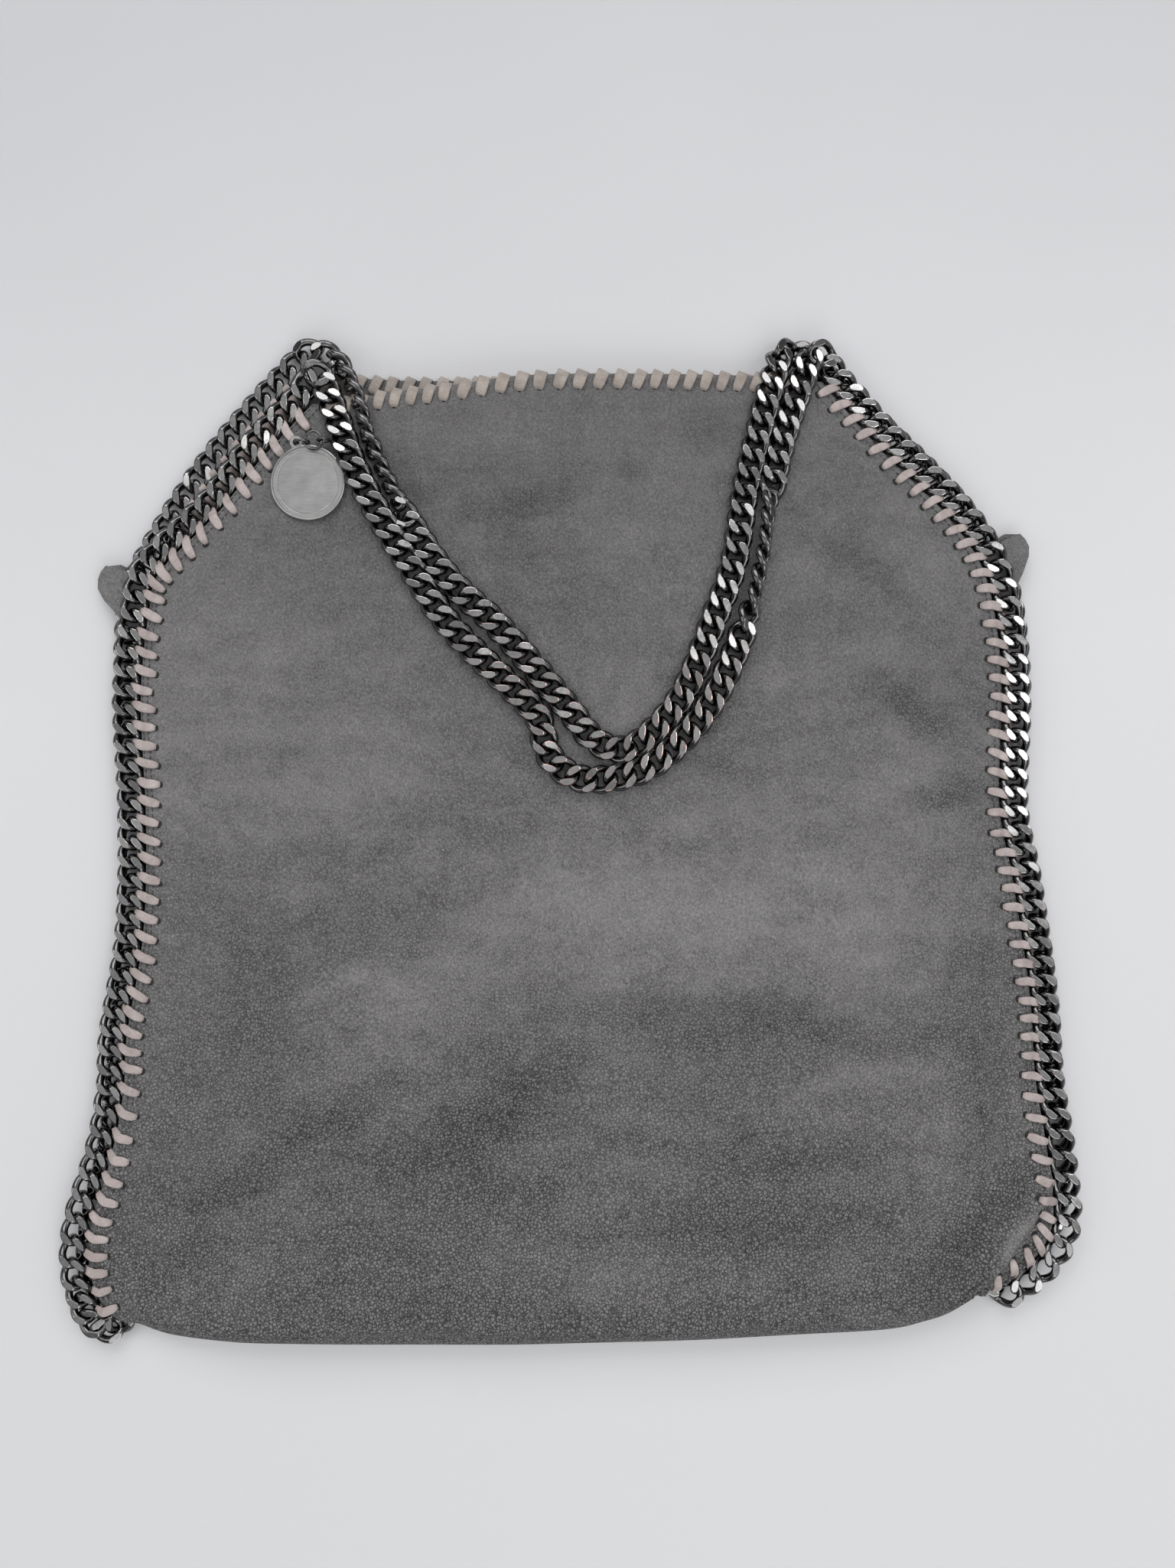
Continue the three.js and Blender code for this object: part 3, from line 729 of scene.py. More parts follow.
def settle(grid, first_free_row, frames=24):
    """Lets the sheet settle as cloth over what is inside the bag, held along its edges."""
    rows, columns = grid.shape[:2]
    sheet = mesh_object("settling", grid.reshape(-1, 3), grid_faces(rows, columns), "suede")
    filling_grid = grid - 1.6 * grid_normals(grid)
    filling = mesh_object("filling", filling_grid.reshape(-1, 3), grid_faces(rows, columns), "suede")
    collision = filling.modifiers.new("filling", "COLLISION")
    collision.settings.thickness_outer = 0.0006
    index = np.arange(rows * columns).reshape(rows, columns)
    held = np.zeros((rows, columns), bool)
    held[:first_free_row] = True
    held[-1:] = True
    held[:, :1] = True
    held[:, -1:] = True
    group = sheet.vertex_groups.new(name="held")
    group.add(index[held].tolist(), 1.0, "REPLACE")
    cloth = sheet.modifiers.new("cloth", "CLOTH")
    cloth.settings.quality = 6
    cloth.settings.mass = 0.02
    cloth.settings.tension_stiffness = 18
    cloth.settings.compression_stiffness = 14
    cloth.settings.shear_stiffness = 8
    cloth.settings.bending_stiffness = 2.2
    cloth.settings.air_damping = 3
    cloth.settings.vertex_group_mass = "held"
    cloth.settings.shrink_min = -0.012
    cloth.settings.shrink_max = -0.012
    cloth.collision_settings.distance_min = 0.0008
    cloth.collision_settings.collision_quality = 2
    cloth.collision_settings.use_self_collision = False
    scene = bpy.context.scene
    cloth.point_cache.frame_start = 1
    cloth.point_cache.frame_end = frames
    scene.frame_start, scene.frame_end = 1, frames
    for number in range(1, frames + 1):
        scene.frame_set(number)
    settled = sheet.evaluated_get(bpy.context.evaluated_depsgraph_get()).to_mesh()
    co = np.empty(rows * columns * 3, np.float32)
    settled.vertices.foreach_get("co", co)
    result = co.reshape(rows, columns, 3).astype(float) / MM
    for piece in (sheet, filling):
        mesh = piece.data
        bpy.data.objects.remove(piece)
        bpy.data.meshes.remove(mesh)
    scene.frame_set(1)
    return result


def limited(grid, settled, most=2.2):
    """The settled grid, with no point further than this from where it was designed."""
    move = settled - grid
    size = np.linalg.norm(move, axis=-1, keepdims=True)
    return grid + move * np.minimum(1, most / np.maximum(size, 1e-6))


class Surface:
    """Looks up the height of finished cloth from above."""

    def __init__(self, grid):
        rows, columns = grid.shape[:2]
        self.tree = BVHTree.FromPolygons(grid.reshape(-1, 3).tolist(), grid_faces(rows, columns).tolist())

    def height(self, x, y, otherwise=None):
        hit = self.tree.ray_cast(Vector((x, y, 60)), Vector((0, 0, -1)))[0]
        return hit.z if hit else otherwise


# ---- curb chain ----
LINK_A = 5.05  # half length of the wire's middle line
LINK_B = 3.95
LINK_TWIST = math.radians(-46)
WIRE_R = 1.4
CUT_Z = 2.22  # the flats are cut here, above and below


def curb_link(sections=34, sides=10):
    """One twisted link with flat cut faces: vertices, faces, whether each face is cut, and rim weights."""
    angles = np.linspace(0, 2 * math.pi, sections, endpoint=False)
    power = 2 / 2.1
    x = LINK_A * np.sign(np.cos(angles)) * np.abs(np.cos(angles)) ** power
    y = LINK_B * np.sign(np.sin(angles)) * np.abs(np.sin(angles)) ** power
    twist = LINK_TWIST * x / LINK_A
    middle = np.stack([x, y * np.cos(twist), y * np.sin(twist)], -1)
    path = Path(np.vstack([middle, middle[:1]]), 4)
    even = path.at(np.linspace(0, path.length, sections, endpoint=False))
    vertices, faces = tube(even, WIRE_R, sides, closed=True)
    mesh = bmesh.new()
    made = [mesh.verts.new(v) for v in vertices]
    for f in faces:
        mesh.faces.new([made[i] for i in f])
    cut_faces = []
    for sign in (1, -1):
        geometry = mesh.verts[:] + mesh.edges[:] + mesh.faces[:]
        cut = bmesh.ops.bisect_plane(
            mesh, geom=geometry, plane_co=(0, 0, sign * CUT_Z), plane_no=(0, 0, sign), clear_outer=True
        )
        edges = [g for g in cut["geom_cut"] if isinstance(g, bmesh.types.BMEdge)]
        cut_faces += bmesh.ops.edgeloop_fill(mesh, edges=edges)["faces"]
    bmesh.ops.recalc_face_normals(mesh, faces=mesh.faces[:])
    rims = bmesh.ops.inset_individual(mesh, faces=cut_faces, thickness=0.18, depth=0.04)["faces"]
    mesh.verts.index_update()
    mesh.faces.index_update()
    flat = set(f.index for f in cut_faces) | set(f.index for f in rims)
    rim_weight = np.zeros(len(mesh.verts))
    for f in rims:
        for v in f.verts:
            rim_weight[v.index] = 1.0
    for f in cut_faces:
        for v in f.verts:
            rim_weight[v.index] = 0.0
    out_vertices = np.array([v.co for v in mesh.verts])
    out_faces = [[v.index for v in f.verts] for f in mesh.faces]
    is_cut = [f.index in flat for f in mesh.faces]
    mesh.free()
    return out_vertices, out_faces, is_cut, rim_weight


LINK = None


def link_frames(path, marks, roll, chance, wobble=2.2):
    """For every mark, the link's place and its axes as columns."""
    frames = []
    for s in marks:
        t = path.tangent(np.array(s), 2.5)
        left = unit(np.cross(UP, t))
        up = np.cross(t, left)
        turn = Matrix.Rotation(math.radians(roll(s) + chance.gauss(0, wobble)), 3, Vector(t))
        tilt = Matrix.Rotation(math.radians(chance.gauss(0, wobble * 0.7)), 3, Vector(left))
        axes = np.array(turn @ tilt) @ np.stack([t, left, up], -1)
        frames.append((path.at(np.array(s)), axes))
    return frames


def chain_piece(name, frames, wear, chance):
    vertices, faces, is_cut, rim = LINK
    all_vertices, all_faces, tones_and_glints, wears = [], [], [], []
    for number, (place, axes) in enumerate(frames):
        offset = number * len(vertices)
        link = vertices @ axes.T + place
        link[:, 2] += max(0.0, 0.03 - link[:, 2].min())
        all_vertices.append(link)
        all_faces.extend([[i + offset for i in f] for f in faces])
        # A random brightness per link for its facets: partly plating tone, partly painted glint.
        tones_and_glints.append(np.full(len(vertices), min(1.0, max(0.0, chance.gauss(0.42, 0.22)))))
        wears.append(rim * wear(place))
    piece = mesh_object(name, np.concatenate(all_vertices), all_faces, "gunmetal")
    mesh = piece.data
    mesh.materials.append(MATERIALS["gunmetal_facet"])
    cut = np.array(is_cut * len(frames))
    mesh.polygons.foreach_set("material_index", cut.astype(np.int32))
    mesh.polygons.foreach_set("use_smooth", ~cut)
    for key, values in (("tone_and_painted_light", tones_and_glints), ("wear", wears)):
        attribute = mesh.attributes.new(key, "FLOAT", "POINT")
        attribute.data.foreach_set("value", np.concatenate(values).astype(np.float32))
    return piece


def pitch_at(place):
    """Stretched along the lower edges, and bunched up where the chain turns under a corner."""
    pulled = mix(PITCH, STRETCHED_PITCH, float(smooth((-78 - place[1]) / 30)))
    return mix(pulled, BUNCHED_PITCH, float(smooth((-160 - place[1]) / 10)))


def chain_marks(path, start, end):
    """Marks from start to end, a pitch apart, scaled so that the last one falls on the end."""
    steps, s = [], start
    while s < end:
        steps.append(pitch_at(path.at(np.array(s))))
        s += steps[-1]
    steps = np.array(steps[:-1])
    return start + np.concatenate([[0], np.cumsum(steps)]) * (end - start) / steps.sum()


def marks_beside(line, other, other_marks):
    """Marks of a chain whose links lie under those of another chain along three stretches of the edges."""
    anchors = []
    for side, y in ((-1, -125), (1, 65), (1, -125)):
        on_side = [m for m in other_marks if other.path.at(np.array(m))[0] * side > 120]
        best = min(on_side, key=lambda m: abs(other.path.at(np.array(m))[1] - y))
        anchors.append(line.mark_near(*other.path.at(np.array(best))[:2]))
    first, second, last = anchors
    lower, upper = chain_marks(line.path, first, second), chain_marks(line.path, second, last)
    middle = np.concatenate([lower[:-1], upper])
    before, s = [], first
    while True:
        s -= pitch_at(line.path.at(np.array(s)))
        if s < 0:
            break
        before.append(s)
    after, s = [], last
    while True:
        s += pitch_at(line.path.at(np.array(s)))
        if s > line.path.length:
            break
        after.append(s)
    return np.concatenate([before[::-1], middle, after])


def window(value, low, high, fade):
    return float(smooth((value - low) / fade + 0.5) * smooth((high - value) / fade + 0.5))


def blurred(values, spread):
    reach = int(spread * 3)
    kernel = np.exp(-0.5 * (np.arange(-reach, reach + 1) / spread) ** 2)
    padded = np.pad(values, reach, mode="edge")
    return np.convolve(padded, kernel / kernel.sum(), mode="valid")


class ChainLine:
    """One continuous chain: up an edge, over into the handle, and down the other edge."""

    def __init__(self, left, turn_left, handle, turn_right, right, edge_z, corners, surface):
        flat = Path([*left, *turn_left, *handle, *turn_right, *right[::-1]])
        self.handle_start = flat.nearest(handle[0])
        self.handle_end = flat.nearest(handle[-1])
        self.edge_end = flat.nearest(left[-1])
        self.edge_back = flat.nearest(right[-1])
        marks = np.arange(0, flat.length, 1.0)
        places = flat.at(marks)
        heights = []
        for s, (x, y) in zip(marks, places):
            if s <= self.edge_end or s >= self.edge_back:
                heights.append(edge_z)
            elif self.handle_start <= s <= self.handle_end:
                ground = surface.height(x, y)
                heights.append(ground + CUT_Z if ground else np.nan)
            else:
                heights.append(np.nan)
        heights = np.array(heights, float)
        known = ~np.isnan(heights)
        heights = np.interp(marks, marks[known], heights[known])
        heights = blurred(heights, 5.0)
        line = np.column_stack([places, heights])
        self.path = Path([*corners[0], *line[4:-4:6], *corners[1][::-1]], 6)

    def mark_near(self, x, y):
        distances = np.linalg.norm(self.path.points[:, :2] - np.array([x, y]), axis=1)
        return self.path.marks[int(np.argmin(distances))]


def copper_wear(place):
    """The plating has worn through mostly at the bottom of the handles."""
    x, y, _ = place
    bottom = float(smooth((105 - y) / 60)) * float(smooth((90 - abs(x)) / 20)) * float(smooth((y + 5) / 25))
    return 0.08 + 0.9 * bottom


def front_roll(line):
    def roll(s):
        x, y, _ = line.path.at(np.array(s))
        on_edge = window(y, 82, 128, 14) if 50 < x < 90 and s < line.mark_near(95, 176) else 0.0
        return 76 * on_edge
    return roll


def back_roll(line):
    def roll(s):
        x, y, _ = line.path.at(np.array(s))
        on_edge = window(y, 122, 181, 16) if -92 < x < -40 and s > line.mark_near(-92, 181) else 0.0
        return 72 * on_edge
    return roll


def bound_per_link(piece):
    """Bakes a chain piece's placement into its mesh."""
    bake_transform(piece)


def make_chains(surface):
    chance = random.Random(21)
    front = ChainLine(FRONT_LEFT, FRONT_TURN_LEFT, FRONT_HANDLE, FRONT_TURN_RIGHT, FRONT_RIGHT[1:],
                      FRONT_CHAIN_Z, (LEFT_CORNER, RIGHT_CORNER), surface)
    back = ChainLine(BACK_LEFT, BACK_TURN_LEFT, BACK_HANDLE, BACK_TURN_RIGHT, BACK_RIGHT,
                     BACK_CHAIN_Z, (BACK_CORNER_LEFT, BACK_CORNER_RIGHT), surface)
    front_marks = chain_marks(front.path, 0, front.path.length)
    back_marks = marks_beside(back, front, front_marks)
    lines = (("front", front, front_marks, front_roll(front)), ("back", back, back_marks, back_roll(back)))
    for key, line, marks, roll in lines:
        handle = FRONT_HANDLE if key == "front" else BACK_HANDLE
        cad = [f"{key}_handle_left", f"{key}_handle_bend", f"{key}_handle_right"]
        start, end = line.mark_near(*handle[0]), line.mark_near(*handle[-1])
        length = end - start
        cuts = [start + length * 0.377, start + length * 0.577]
        frames = link_frames(line.path, marks, roll, chance)
        body = f"{key}_handle"
        if key == "back":
            lead = 24
            bridges = [("links_bridge_left", start - lead, start), ("links_bridge_right", end, end + lead)]
            spans = [("links_back_left", -1, start - lead), ("links_back_right", end + lead, 1e9)]
        else:
            bridges = []
            spans = [("links_front_left", -1, start), ("links_front_right", end, 1e9)]
        for name, low, high in spans:
            chosen = [f for s, f in zip(marks, frames) if low < s <= high]
            piece = chain_piece(name, chosen, copper_wear, chance)
            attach(piece, key)
            side = "left" if "left" in name else "right"
            nodes = [f"edge_chain_{key}_{side}"]
            if key == "front":
                nodes.append(f"edge_chain_corner_{side}")
            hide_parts(*nodes)
        for name, low, high in bridges:
            chosen = [(s, f) for s, f in zip(marks, frames) if low < s <= high]
            piece = chain_piece(name, [f for _, f in chosen], copper_wear, chance)
            share = [float(smooth((s - low) / (high - low))) for s, _ in chosen]
            if name.endswith("right"):
                share = [1 - w for w in share]
            bound_per_link(piece)
        legs = [(cad[0], start, cuts[0]), (cad[1], cuts[0], cuts[1]), (cad[2], cuts[1], end)]
        for node, low, high in legs:
            chosen = [f for s, f in zip(marks, frames) if low < s <= high]
            piece = chain_piece("links_" + node, chosen, copper_wear, chance)
            if node.endswith("bend"):
                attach(piece, body)
            else:
                bound_per_link(piece)
            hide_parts(node)
    return front, back


# ---- lacing ----
LACE_T = 0.75
SECTION = np.array([  # across the strip and up from its underside, with two shallow creases on top
    [-0.5, 0.35], [-0.47, 0.8], [-0.36, 1.0], [-0.2, 0.9], [-0.04, 1.06], [0.14, 0.92], [0.34, 1.04],
    [0.47, 0.8], [0.5, 0.35], [0.38, 0.0], [0.0, 0.0], [-0.38, 0.0],
])


def strip(points, widths, normals):
    """A closed flat strip whose underside follows the points and whose thickness is along the normals."""
    path = Path(points, 3)
    share = path.marks / path.length
    own = np.array([path.nearest(p) for p in points]) / path.length
    own = np.maximum.accumulate(own)
    wide = np.interp(share, own, widths)
    up = unit(np.stack([np.interp(share, own, np.array(normals)[:, k]) for k in range(3)], -1))
    along = unit(np.gradient(path.points, axis=0))
    side = unit(np.cross(up, along))
    up = np.cross(along, side)
    rings = path.points[:, None] + SECTION[None, :, :1] * wide[:, None, None] * side[:, None]
    rings = rings + SECTION[None, :, 1:] * LACE_T * up[:, None]
    n, count = len(SECTION), len(path.points)
    faces = []
    for i in range(count - 1):
        for k in range(n):
            m = (k + 1) % n
            faces.append([i * n + k, (i + 1) * n + k, (i + 1) * n + m, i * n + m])
    faces.append(list(range(n)))
    faces.append([(count - 1) * n + k for k in range(n)][::-1])
    return rings.reshape(-1, 3), faces


def pebble(place, along, length, width, height, steps=8):
    """A small rounded lump, used for a stitch or as a dark lump of painted shade inside a hole."""
    across = unit(np.cross(UP, np.array([along[0], along[1], 0.0])))
    along = unit(np.array([along[0], along[1], 0.0]))
    rings = []
    for latitude in (-0.9, -0.35, 0.35, 0.9):
        radius = math.sqrt(1 - latitude**2)
        for angle in np.linspace(0, 2 * math.pi, steps, endpoint=False):
            flat = radius * (math.cos(angle) * along * length + math.sin(angle) * across * width) / 2
            rings.append(flat + UP * latitude * height / 2)
    vertices = np.array(rings) + np.array(place)
    faces = [list(range(steps))[::-1], [3 * steps + k for k in range(steps)]]
    for ring in range(3):
        for k in range(steps):
            m = (k + 1) % steps
            faces.append([ring * steps + k, ring * steps + m, (ring + 1) * steps + m, (ring + 1) * steps + k])
    return vertices, faces


def edge_lace(hole, way, clockwise, ground, chain_z, size, chance):
    """A strip from its hole, over the fabric and down between two links."""
    outward = way - clockwise * float(way @ clockwise)
    late = unit(outward + clockwise * math.tan(math.radians(24)))
    distances = [-0.2, 0.1, 0.5, 1.2, 2.6, 4.6]
    places = [hole + way * d * size for d in distances]
    for step in (1.5, 1.5, 1.4):
        places.append(places[-1] + late * step * size)
    rises = [-1.3, -0.1, 0.35, 0.55, 0.62, 0.55]
    heights = [ground(*p) + r for p, r in zip(places, rises)]
    heights += [mix(heights[-1], chain_z + 1.5, 0.5), chain_z + 1.2, chain_z - 0.3]
    points = np.column_stack([np.array(places), heights])
    widths = np.array([1.0, 1.9, 2.6, 3.15, 3.4, 3.45, 3.3, 2.8, 1.8]) * size * (1 + chance.gauss(0, 0.04))
    normals = [first3(-way) + 0.2 * UP, UP - 0.6 * first3(way), UP, UP, UP, UP, UP, UP + 0.4 * first3(late),
               UP + first3(late)]
    return strip(points, widths, normals)


def first3(direction):
    return np.array([direction[0], direction[1], 0.0])


def mouth_lace(hole, outward, clockwise, edge, width, ground, under_z, chance):
    """A strip from its hole, over the mouth's edge and back under it."""
    angle = math.radians(20 + chance.gauss(0, 3))
    way = outward * math.cos(angle) + clockwise * math.sin(angle)
    reach = edge / math.cos(angle)
    flat = [hole - 0.2 * way, hole + 0.3 * way, hole + 1.0 * way, hole + 0.6 * reach * way,
            hole + (reach - 0.3) * way, hole + (reach + 0.55) * way, hole + (reach - 0.4) * way,
            hole + (reach - 3.0) * way + 1.2 * clockwise]
    top = [ground(*p) for p in flat[:5]]
    rises = [-1.0, 0.05, 0.4, 0.45, 0.2]
    heights = [z + r for z, r in zip(top, rises)]
    heights += [(heights[-1] + under_z) / 2, under_z, under_z]
    points = [np.array([p[0], p[1], z]) for p, z in zip(flat, heights)]
    out = first3(way)
    normals = [-out, UP, UP, UP, UP + 0.4 * out, out, -UP + 0.3 * out, -UP]
    shares = [0.5, 0.78, 0.93, 1.0, 1.0, 1.0, 0.9, 0.6]
    return strip(points, [width * share for share in shares], normals)


def hole_inset(side, y):
    """From the chain's middle line in to the holes: more near the base, and more on the left."""
    low = float(smooth((-60 - y) / 60))
    corner = float(smooth((-138 - y) / 16))
    return mix(11.0, 12.6, low) if side > 0 else mix(mix(10.3, 12.0, low), 10.6, corner)


def lacing_along(points, side, chain_z, ground, line_range, chance):
    """Strips, dark lumps of painted shade in the holes, and stitches along one chain edge. side is 1 where
    the bag is right of the direction.
    """
    path = Path(points)
    strips, hole_shades, stitches = [], [], []
    s, end = line_range
    size = 1.0 if side > 0 else 0.93
    while s < min(end, path.length - 1):
        here = np.array(s)
        place = path.at(here)
        t = path.tangent(here, 4)
        inward = side * np.array([t[1], -t[0]])
        clockwise = side * t
        inset = hole_inset(side, place[1])
        low = float(smooth((-70 - place[1]) / 40))
        angle = math.radians((mix(12, -3, low) if side > 0 else mix(9, 27, low)) + chance.gauss(0, 2.5))
        way = -inward * math.cos(angle) + clockwise * math.sin(angle)
        hole = place + inward * (inset + chance.gauss(0, 0.2)) - clockwise * mix(1.6, 2.6, low)
        strips.append(edge_lace(hole, way, clockwise, ground, chain_z(place), size, chance))
        # A dark lump at the hole's tip, painted as the shade inside the hole.
        tip = hole - way * 0.55 - clockwise * 0.25
        across = np.array([-way[1], way[0]])
        hole_shades.append(pebble([*tip, ground(*tip) + 0.02], across, 3.0, 2.1, 0.6))
        step = mix(PITCH, 0.95 * STRETCHED_PITCH, float(smooth((-78 - place[1]) / 30)))
        for row in (2.2, 4.3):
            for share in (0.22, 0.5, 0.78):
                spot = path.at(here + step * share) + inward * (inset - row)
                stitches.append(pebble([*spot, ground(*spot) + 0.06], t, 1.5, 0.5, 0.4, 6))
        s += step
    return strips, hole_shades, stitches


def lacing_over_mouth(path, ground, drop, span, chance, edge=5.6):
    strips, hole_shades = [], []
    s = span[0]
    while s < path.length - span[1]:
        here = np.array(s)
        t = path.tangent(here)
        outward = np.array([-t[1], t[0]])
        hole = path.at(here) - outward * edge
        under = ground(*hole) - drop
        wide = mix(4.0, 4.7, window(path.at(here)[0], -45, 20, 30))
        strips.append(mouth_lace(hole, outward, t, edge, wide, ground, under, chance))
        # A dark lump at the hole's tip, painted as the shade inside the hole.
        tip = hole - 0.45 * outward + 0.5 * t
        hole_shades.append(pebble([*tip, ground(*tip)], t, 2.2, 1.1, 0.5))
        s += mix(6.1, 7.3, window(path.at(here)[0], -45, 20, 30))
    return strips, hole_shades


def lacing_set(name, strips, hole_shades, stitches, body, node):
    material = "lacing_mouth" if name.endswith("mouth") else "lacing"
    vertices, faces = merge(strips)
    vertices[:, 2] = np.maximum(vertices[:, 2], FLOOR_GAP)
    pieces = [mesh_object(name, vertices, faces, material)]
    # The dark lumps painted as shade inside the holes.
    pieces.append(mesh_object(name + "_holes", *merge(hole_shades), "hole_shadow"))
    if stitches:
        pieces.append(mesh_object(name + "_thread", *merge(stitches), "thread"))
    for piece in pieces:
        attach(piece, body)
    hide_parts(node)


def make_lacing(front_surface, front_mouth_line, back_mouth_line):
    chance = random.Random(5)

    def front_ground(x, y):
        near = front_surface.height(x, y)
        return near if near is not None else FRONT_EDGE_Z + 1.5

    def back_ground(x, y):
        return BACK_TOP_Z

    def front_chain(place):
        corner = float(smooth((-148 - place[1]) / 20))
        return FRONT_CHAIN_Z - 1.6 * corner

    left_line = [[-181, -172], *FRONT_LEFT]
    run = lacing_along(left_line, 1, front_chain, front_ground, (0.5, Path(left_line).length - 1.5), chance)
    lacing_set("laces_front_left", *run, "front", "lacing_front_left")
    run = lacing_along(FRONT_RIGHT, -1, front_chain, front_ground, (1, Path(FRONT_RIGHT).length - 2), chance)
    lacing_set("laces_front_right", *run, "front", "lacing_front_right")
    for key, points, side in (("left", BACK_LEFT, 1), ("right", BACK_RIGHT, -1)):
        reach = Path(points).length - 8
        run = lacing_along(points, side, lambda p: BACK_CHAIN_Z + 0.6, back_ground, (10, reach), chance)
        lacing_set(f"laces_back_{key}", *run, "back", f"lacing_back_{key}")
    run = lacing_over_mouth(front_mouth_line, front_ground, PANEL_T + 0.8, (6, 8), chance)
    lacing_set("laces_front_mouth", *run, [], "front", "lacing_front_top")
    run = lacing_over_mouth(back_mouth_line, back_ground, PANEL_T + 0.7, (6, 8), chance)
    lacing_set("laces_back_mouth", *run, [], "back", "lacing_back_top")


# ---- shells ----
BACK_TOP_Z = 2.15


def make_front():
    grid, first_free = front_grid()
    settled = limited(grid, settle(grid, first_free))
    fine = refined(settled)
    piece = cloth_piece("shell_front", fine, PANEL_T, "suede")
    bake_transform(piece)
    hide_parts("front_panel", "base_fold")
    return fine, Surface(fine[2 * first_free:])


def make_back():
    rows, columns = 90, 90
    flat = shell_edges(BACK_LEFT, BACK_RIGHT, BACK_MOUTH, EDGE_INSET, rows, columns)
    sag = 0.18 * np.sin(flat[..., 0] / 17) * np.sin(flat[..., 1] / 23)
    edge = np.minimum(np.linspace(0, 1, columns)[None, :], np.linspace(1, 0, columns)[None, :])
    lift = np.maximum(0.0, BACK_TOP_Z - PANEL_T - 0.1) * (1 - smooth(edge / 0.08))
    low = np.zeros((rows, columns)) + PANEL_T + 0.15 + lift + np.abs(sag) * smooth(edge / 0.1)
    flat[..., 1] = np.maximum(flat[..., 1], HINGE_Y)
    grid = np.dstack([flat, low])
    piece = cloth_piece("shell_back", grid, PANEL_T, "suede")
    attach(piece, "back")
    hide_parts("back_panel")


# ---- gussets ----
GUSSET_Z = 4.6  # between the two leaves
TAB_REACH = 18.0
TAB_LENGTH = 22
SEAM_PITCH = 1.7  # between the stitches round a tab


def gusset_grid(front_points, back_points, side, top, rows=110, across=15):
    """One sheet from the front edge, in to the fold and out again to the back edge, with a tab at its top."""
    front_path, back_path = Path(front_points), Path(back_points)
    grid = []
    for row in range(rows):
        share = 0.05 + (top - 0.05) * row / (rows - 1)
        places = []
        for path, z, order in ((front_path, GUSSET_Z + 0.75, 1), (back_path, GUSSET_Z - 0.65, -1)):
            mark = path.length * share
            left_over = path.length * (top - share)
            reach = TAB_REACH * float(smooth((TAB_LENGTH - left_over) / 15))
            corner = max(0.0, 5.0 - left_over)
            reach -= 5.0 - math.sqrt(25.0 - corner**2)
            outer = EDGE_INSET - reach
            depths = np.linspace(outer, GUSSET_DEPTH - 0.7, across)[::order]
            for depth in depths:
                ripple = 0.12 * math.sin(mark / 9 + depth / 6)
                place = path.beside(np.array(mark), side * depth)
                twin = back_path.beside(np.array(back_path.length * share), side * depth)
                shared = smooth(reach / TAB_REACH) * smooth((EDGE_INSET - depth) / TAB_REACH + 0.5)
                places.append([*mix(place, twin, shared), z + ripple])
            if order == 1:
                for angle in np.linspace(0.3, math.pi - 0.3, 5):
                    depth = GUSSET_DEPTH - 0.7 + 0.7 * math.sin(angle)
                    place = path.beside(np.array(mark), side * depth)
                    places.append([*place, GUSSET_Z + 0.05 + 0.7 * math.cos(angle)])
        grid.append(places)
    return np.array(grid)


def seam_stitches(line, marks):
    places = [(line.at(np.array(s)), line.tangent(np.array(s))) for s in marks]
    return [pebble(spot + UP * 0.12, along[:2], 1.1, 0.4, 0.35, 6) for spot, along in places]


def make_gussets():
    sides = (("left", FRONT_LEFT, BACK_LEFT, 1, 0.734), ("right", FRONT_RIGHT, BACK_RIGHT, -1, 0.75))
    for key, front_points, back_points, side, top in sides:
        grid = gusset_grid(front_points, back_points, side, top)
        if side > 0:
            grid = grid[:, ::-1]
        piece = cloth_piece(f"gusset_{key}", grid, 0.45, "suede")
        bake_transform(piece)
        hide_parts(f"gusset_{key}_back", f"gusset_{key}_front")
        upper_leaf = grid[:, -3] if side > 0 else grid[:, 2]
        line = Path(upper_leaf[-16:])
        seam = seam_stitches(line, np.arange(0.5, line.length, SEAM_PITCH))
        end_row = grid[-3]
        half = end_row[len(end_row) // 2 + 3:-2] if side > 0 else end_row[2:len(end_row) // 2 - 3]
        line = Path(half)
        marks = np.arange(0.5, min(line.length, 15), SEAM_PITCH)
        seam += seam_stitches(line, marks if side < 0 else line.length - marks)
        stitches = mesh_object(f"gusset_{key}_thread", *merge(seam), "thread")
        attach(stitches, "front")


# ---- lining and pockets ----
LINING_T = 0.45
LINING_MARGIN = 13  # chain's middle line to the lining's edge
LINING_GAP = 0.55  # front shell's inside to the lining
POCKET_GAP = 1.35  # front shell's inside to the slip pocket
BACK_LINING_TOP = 3.38
POUCH_TOP = 2.55


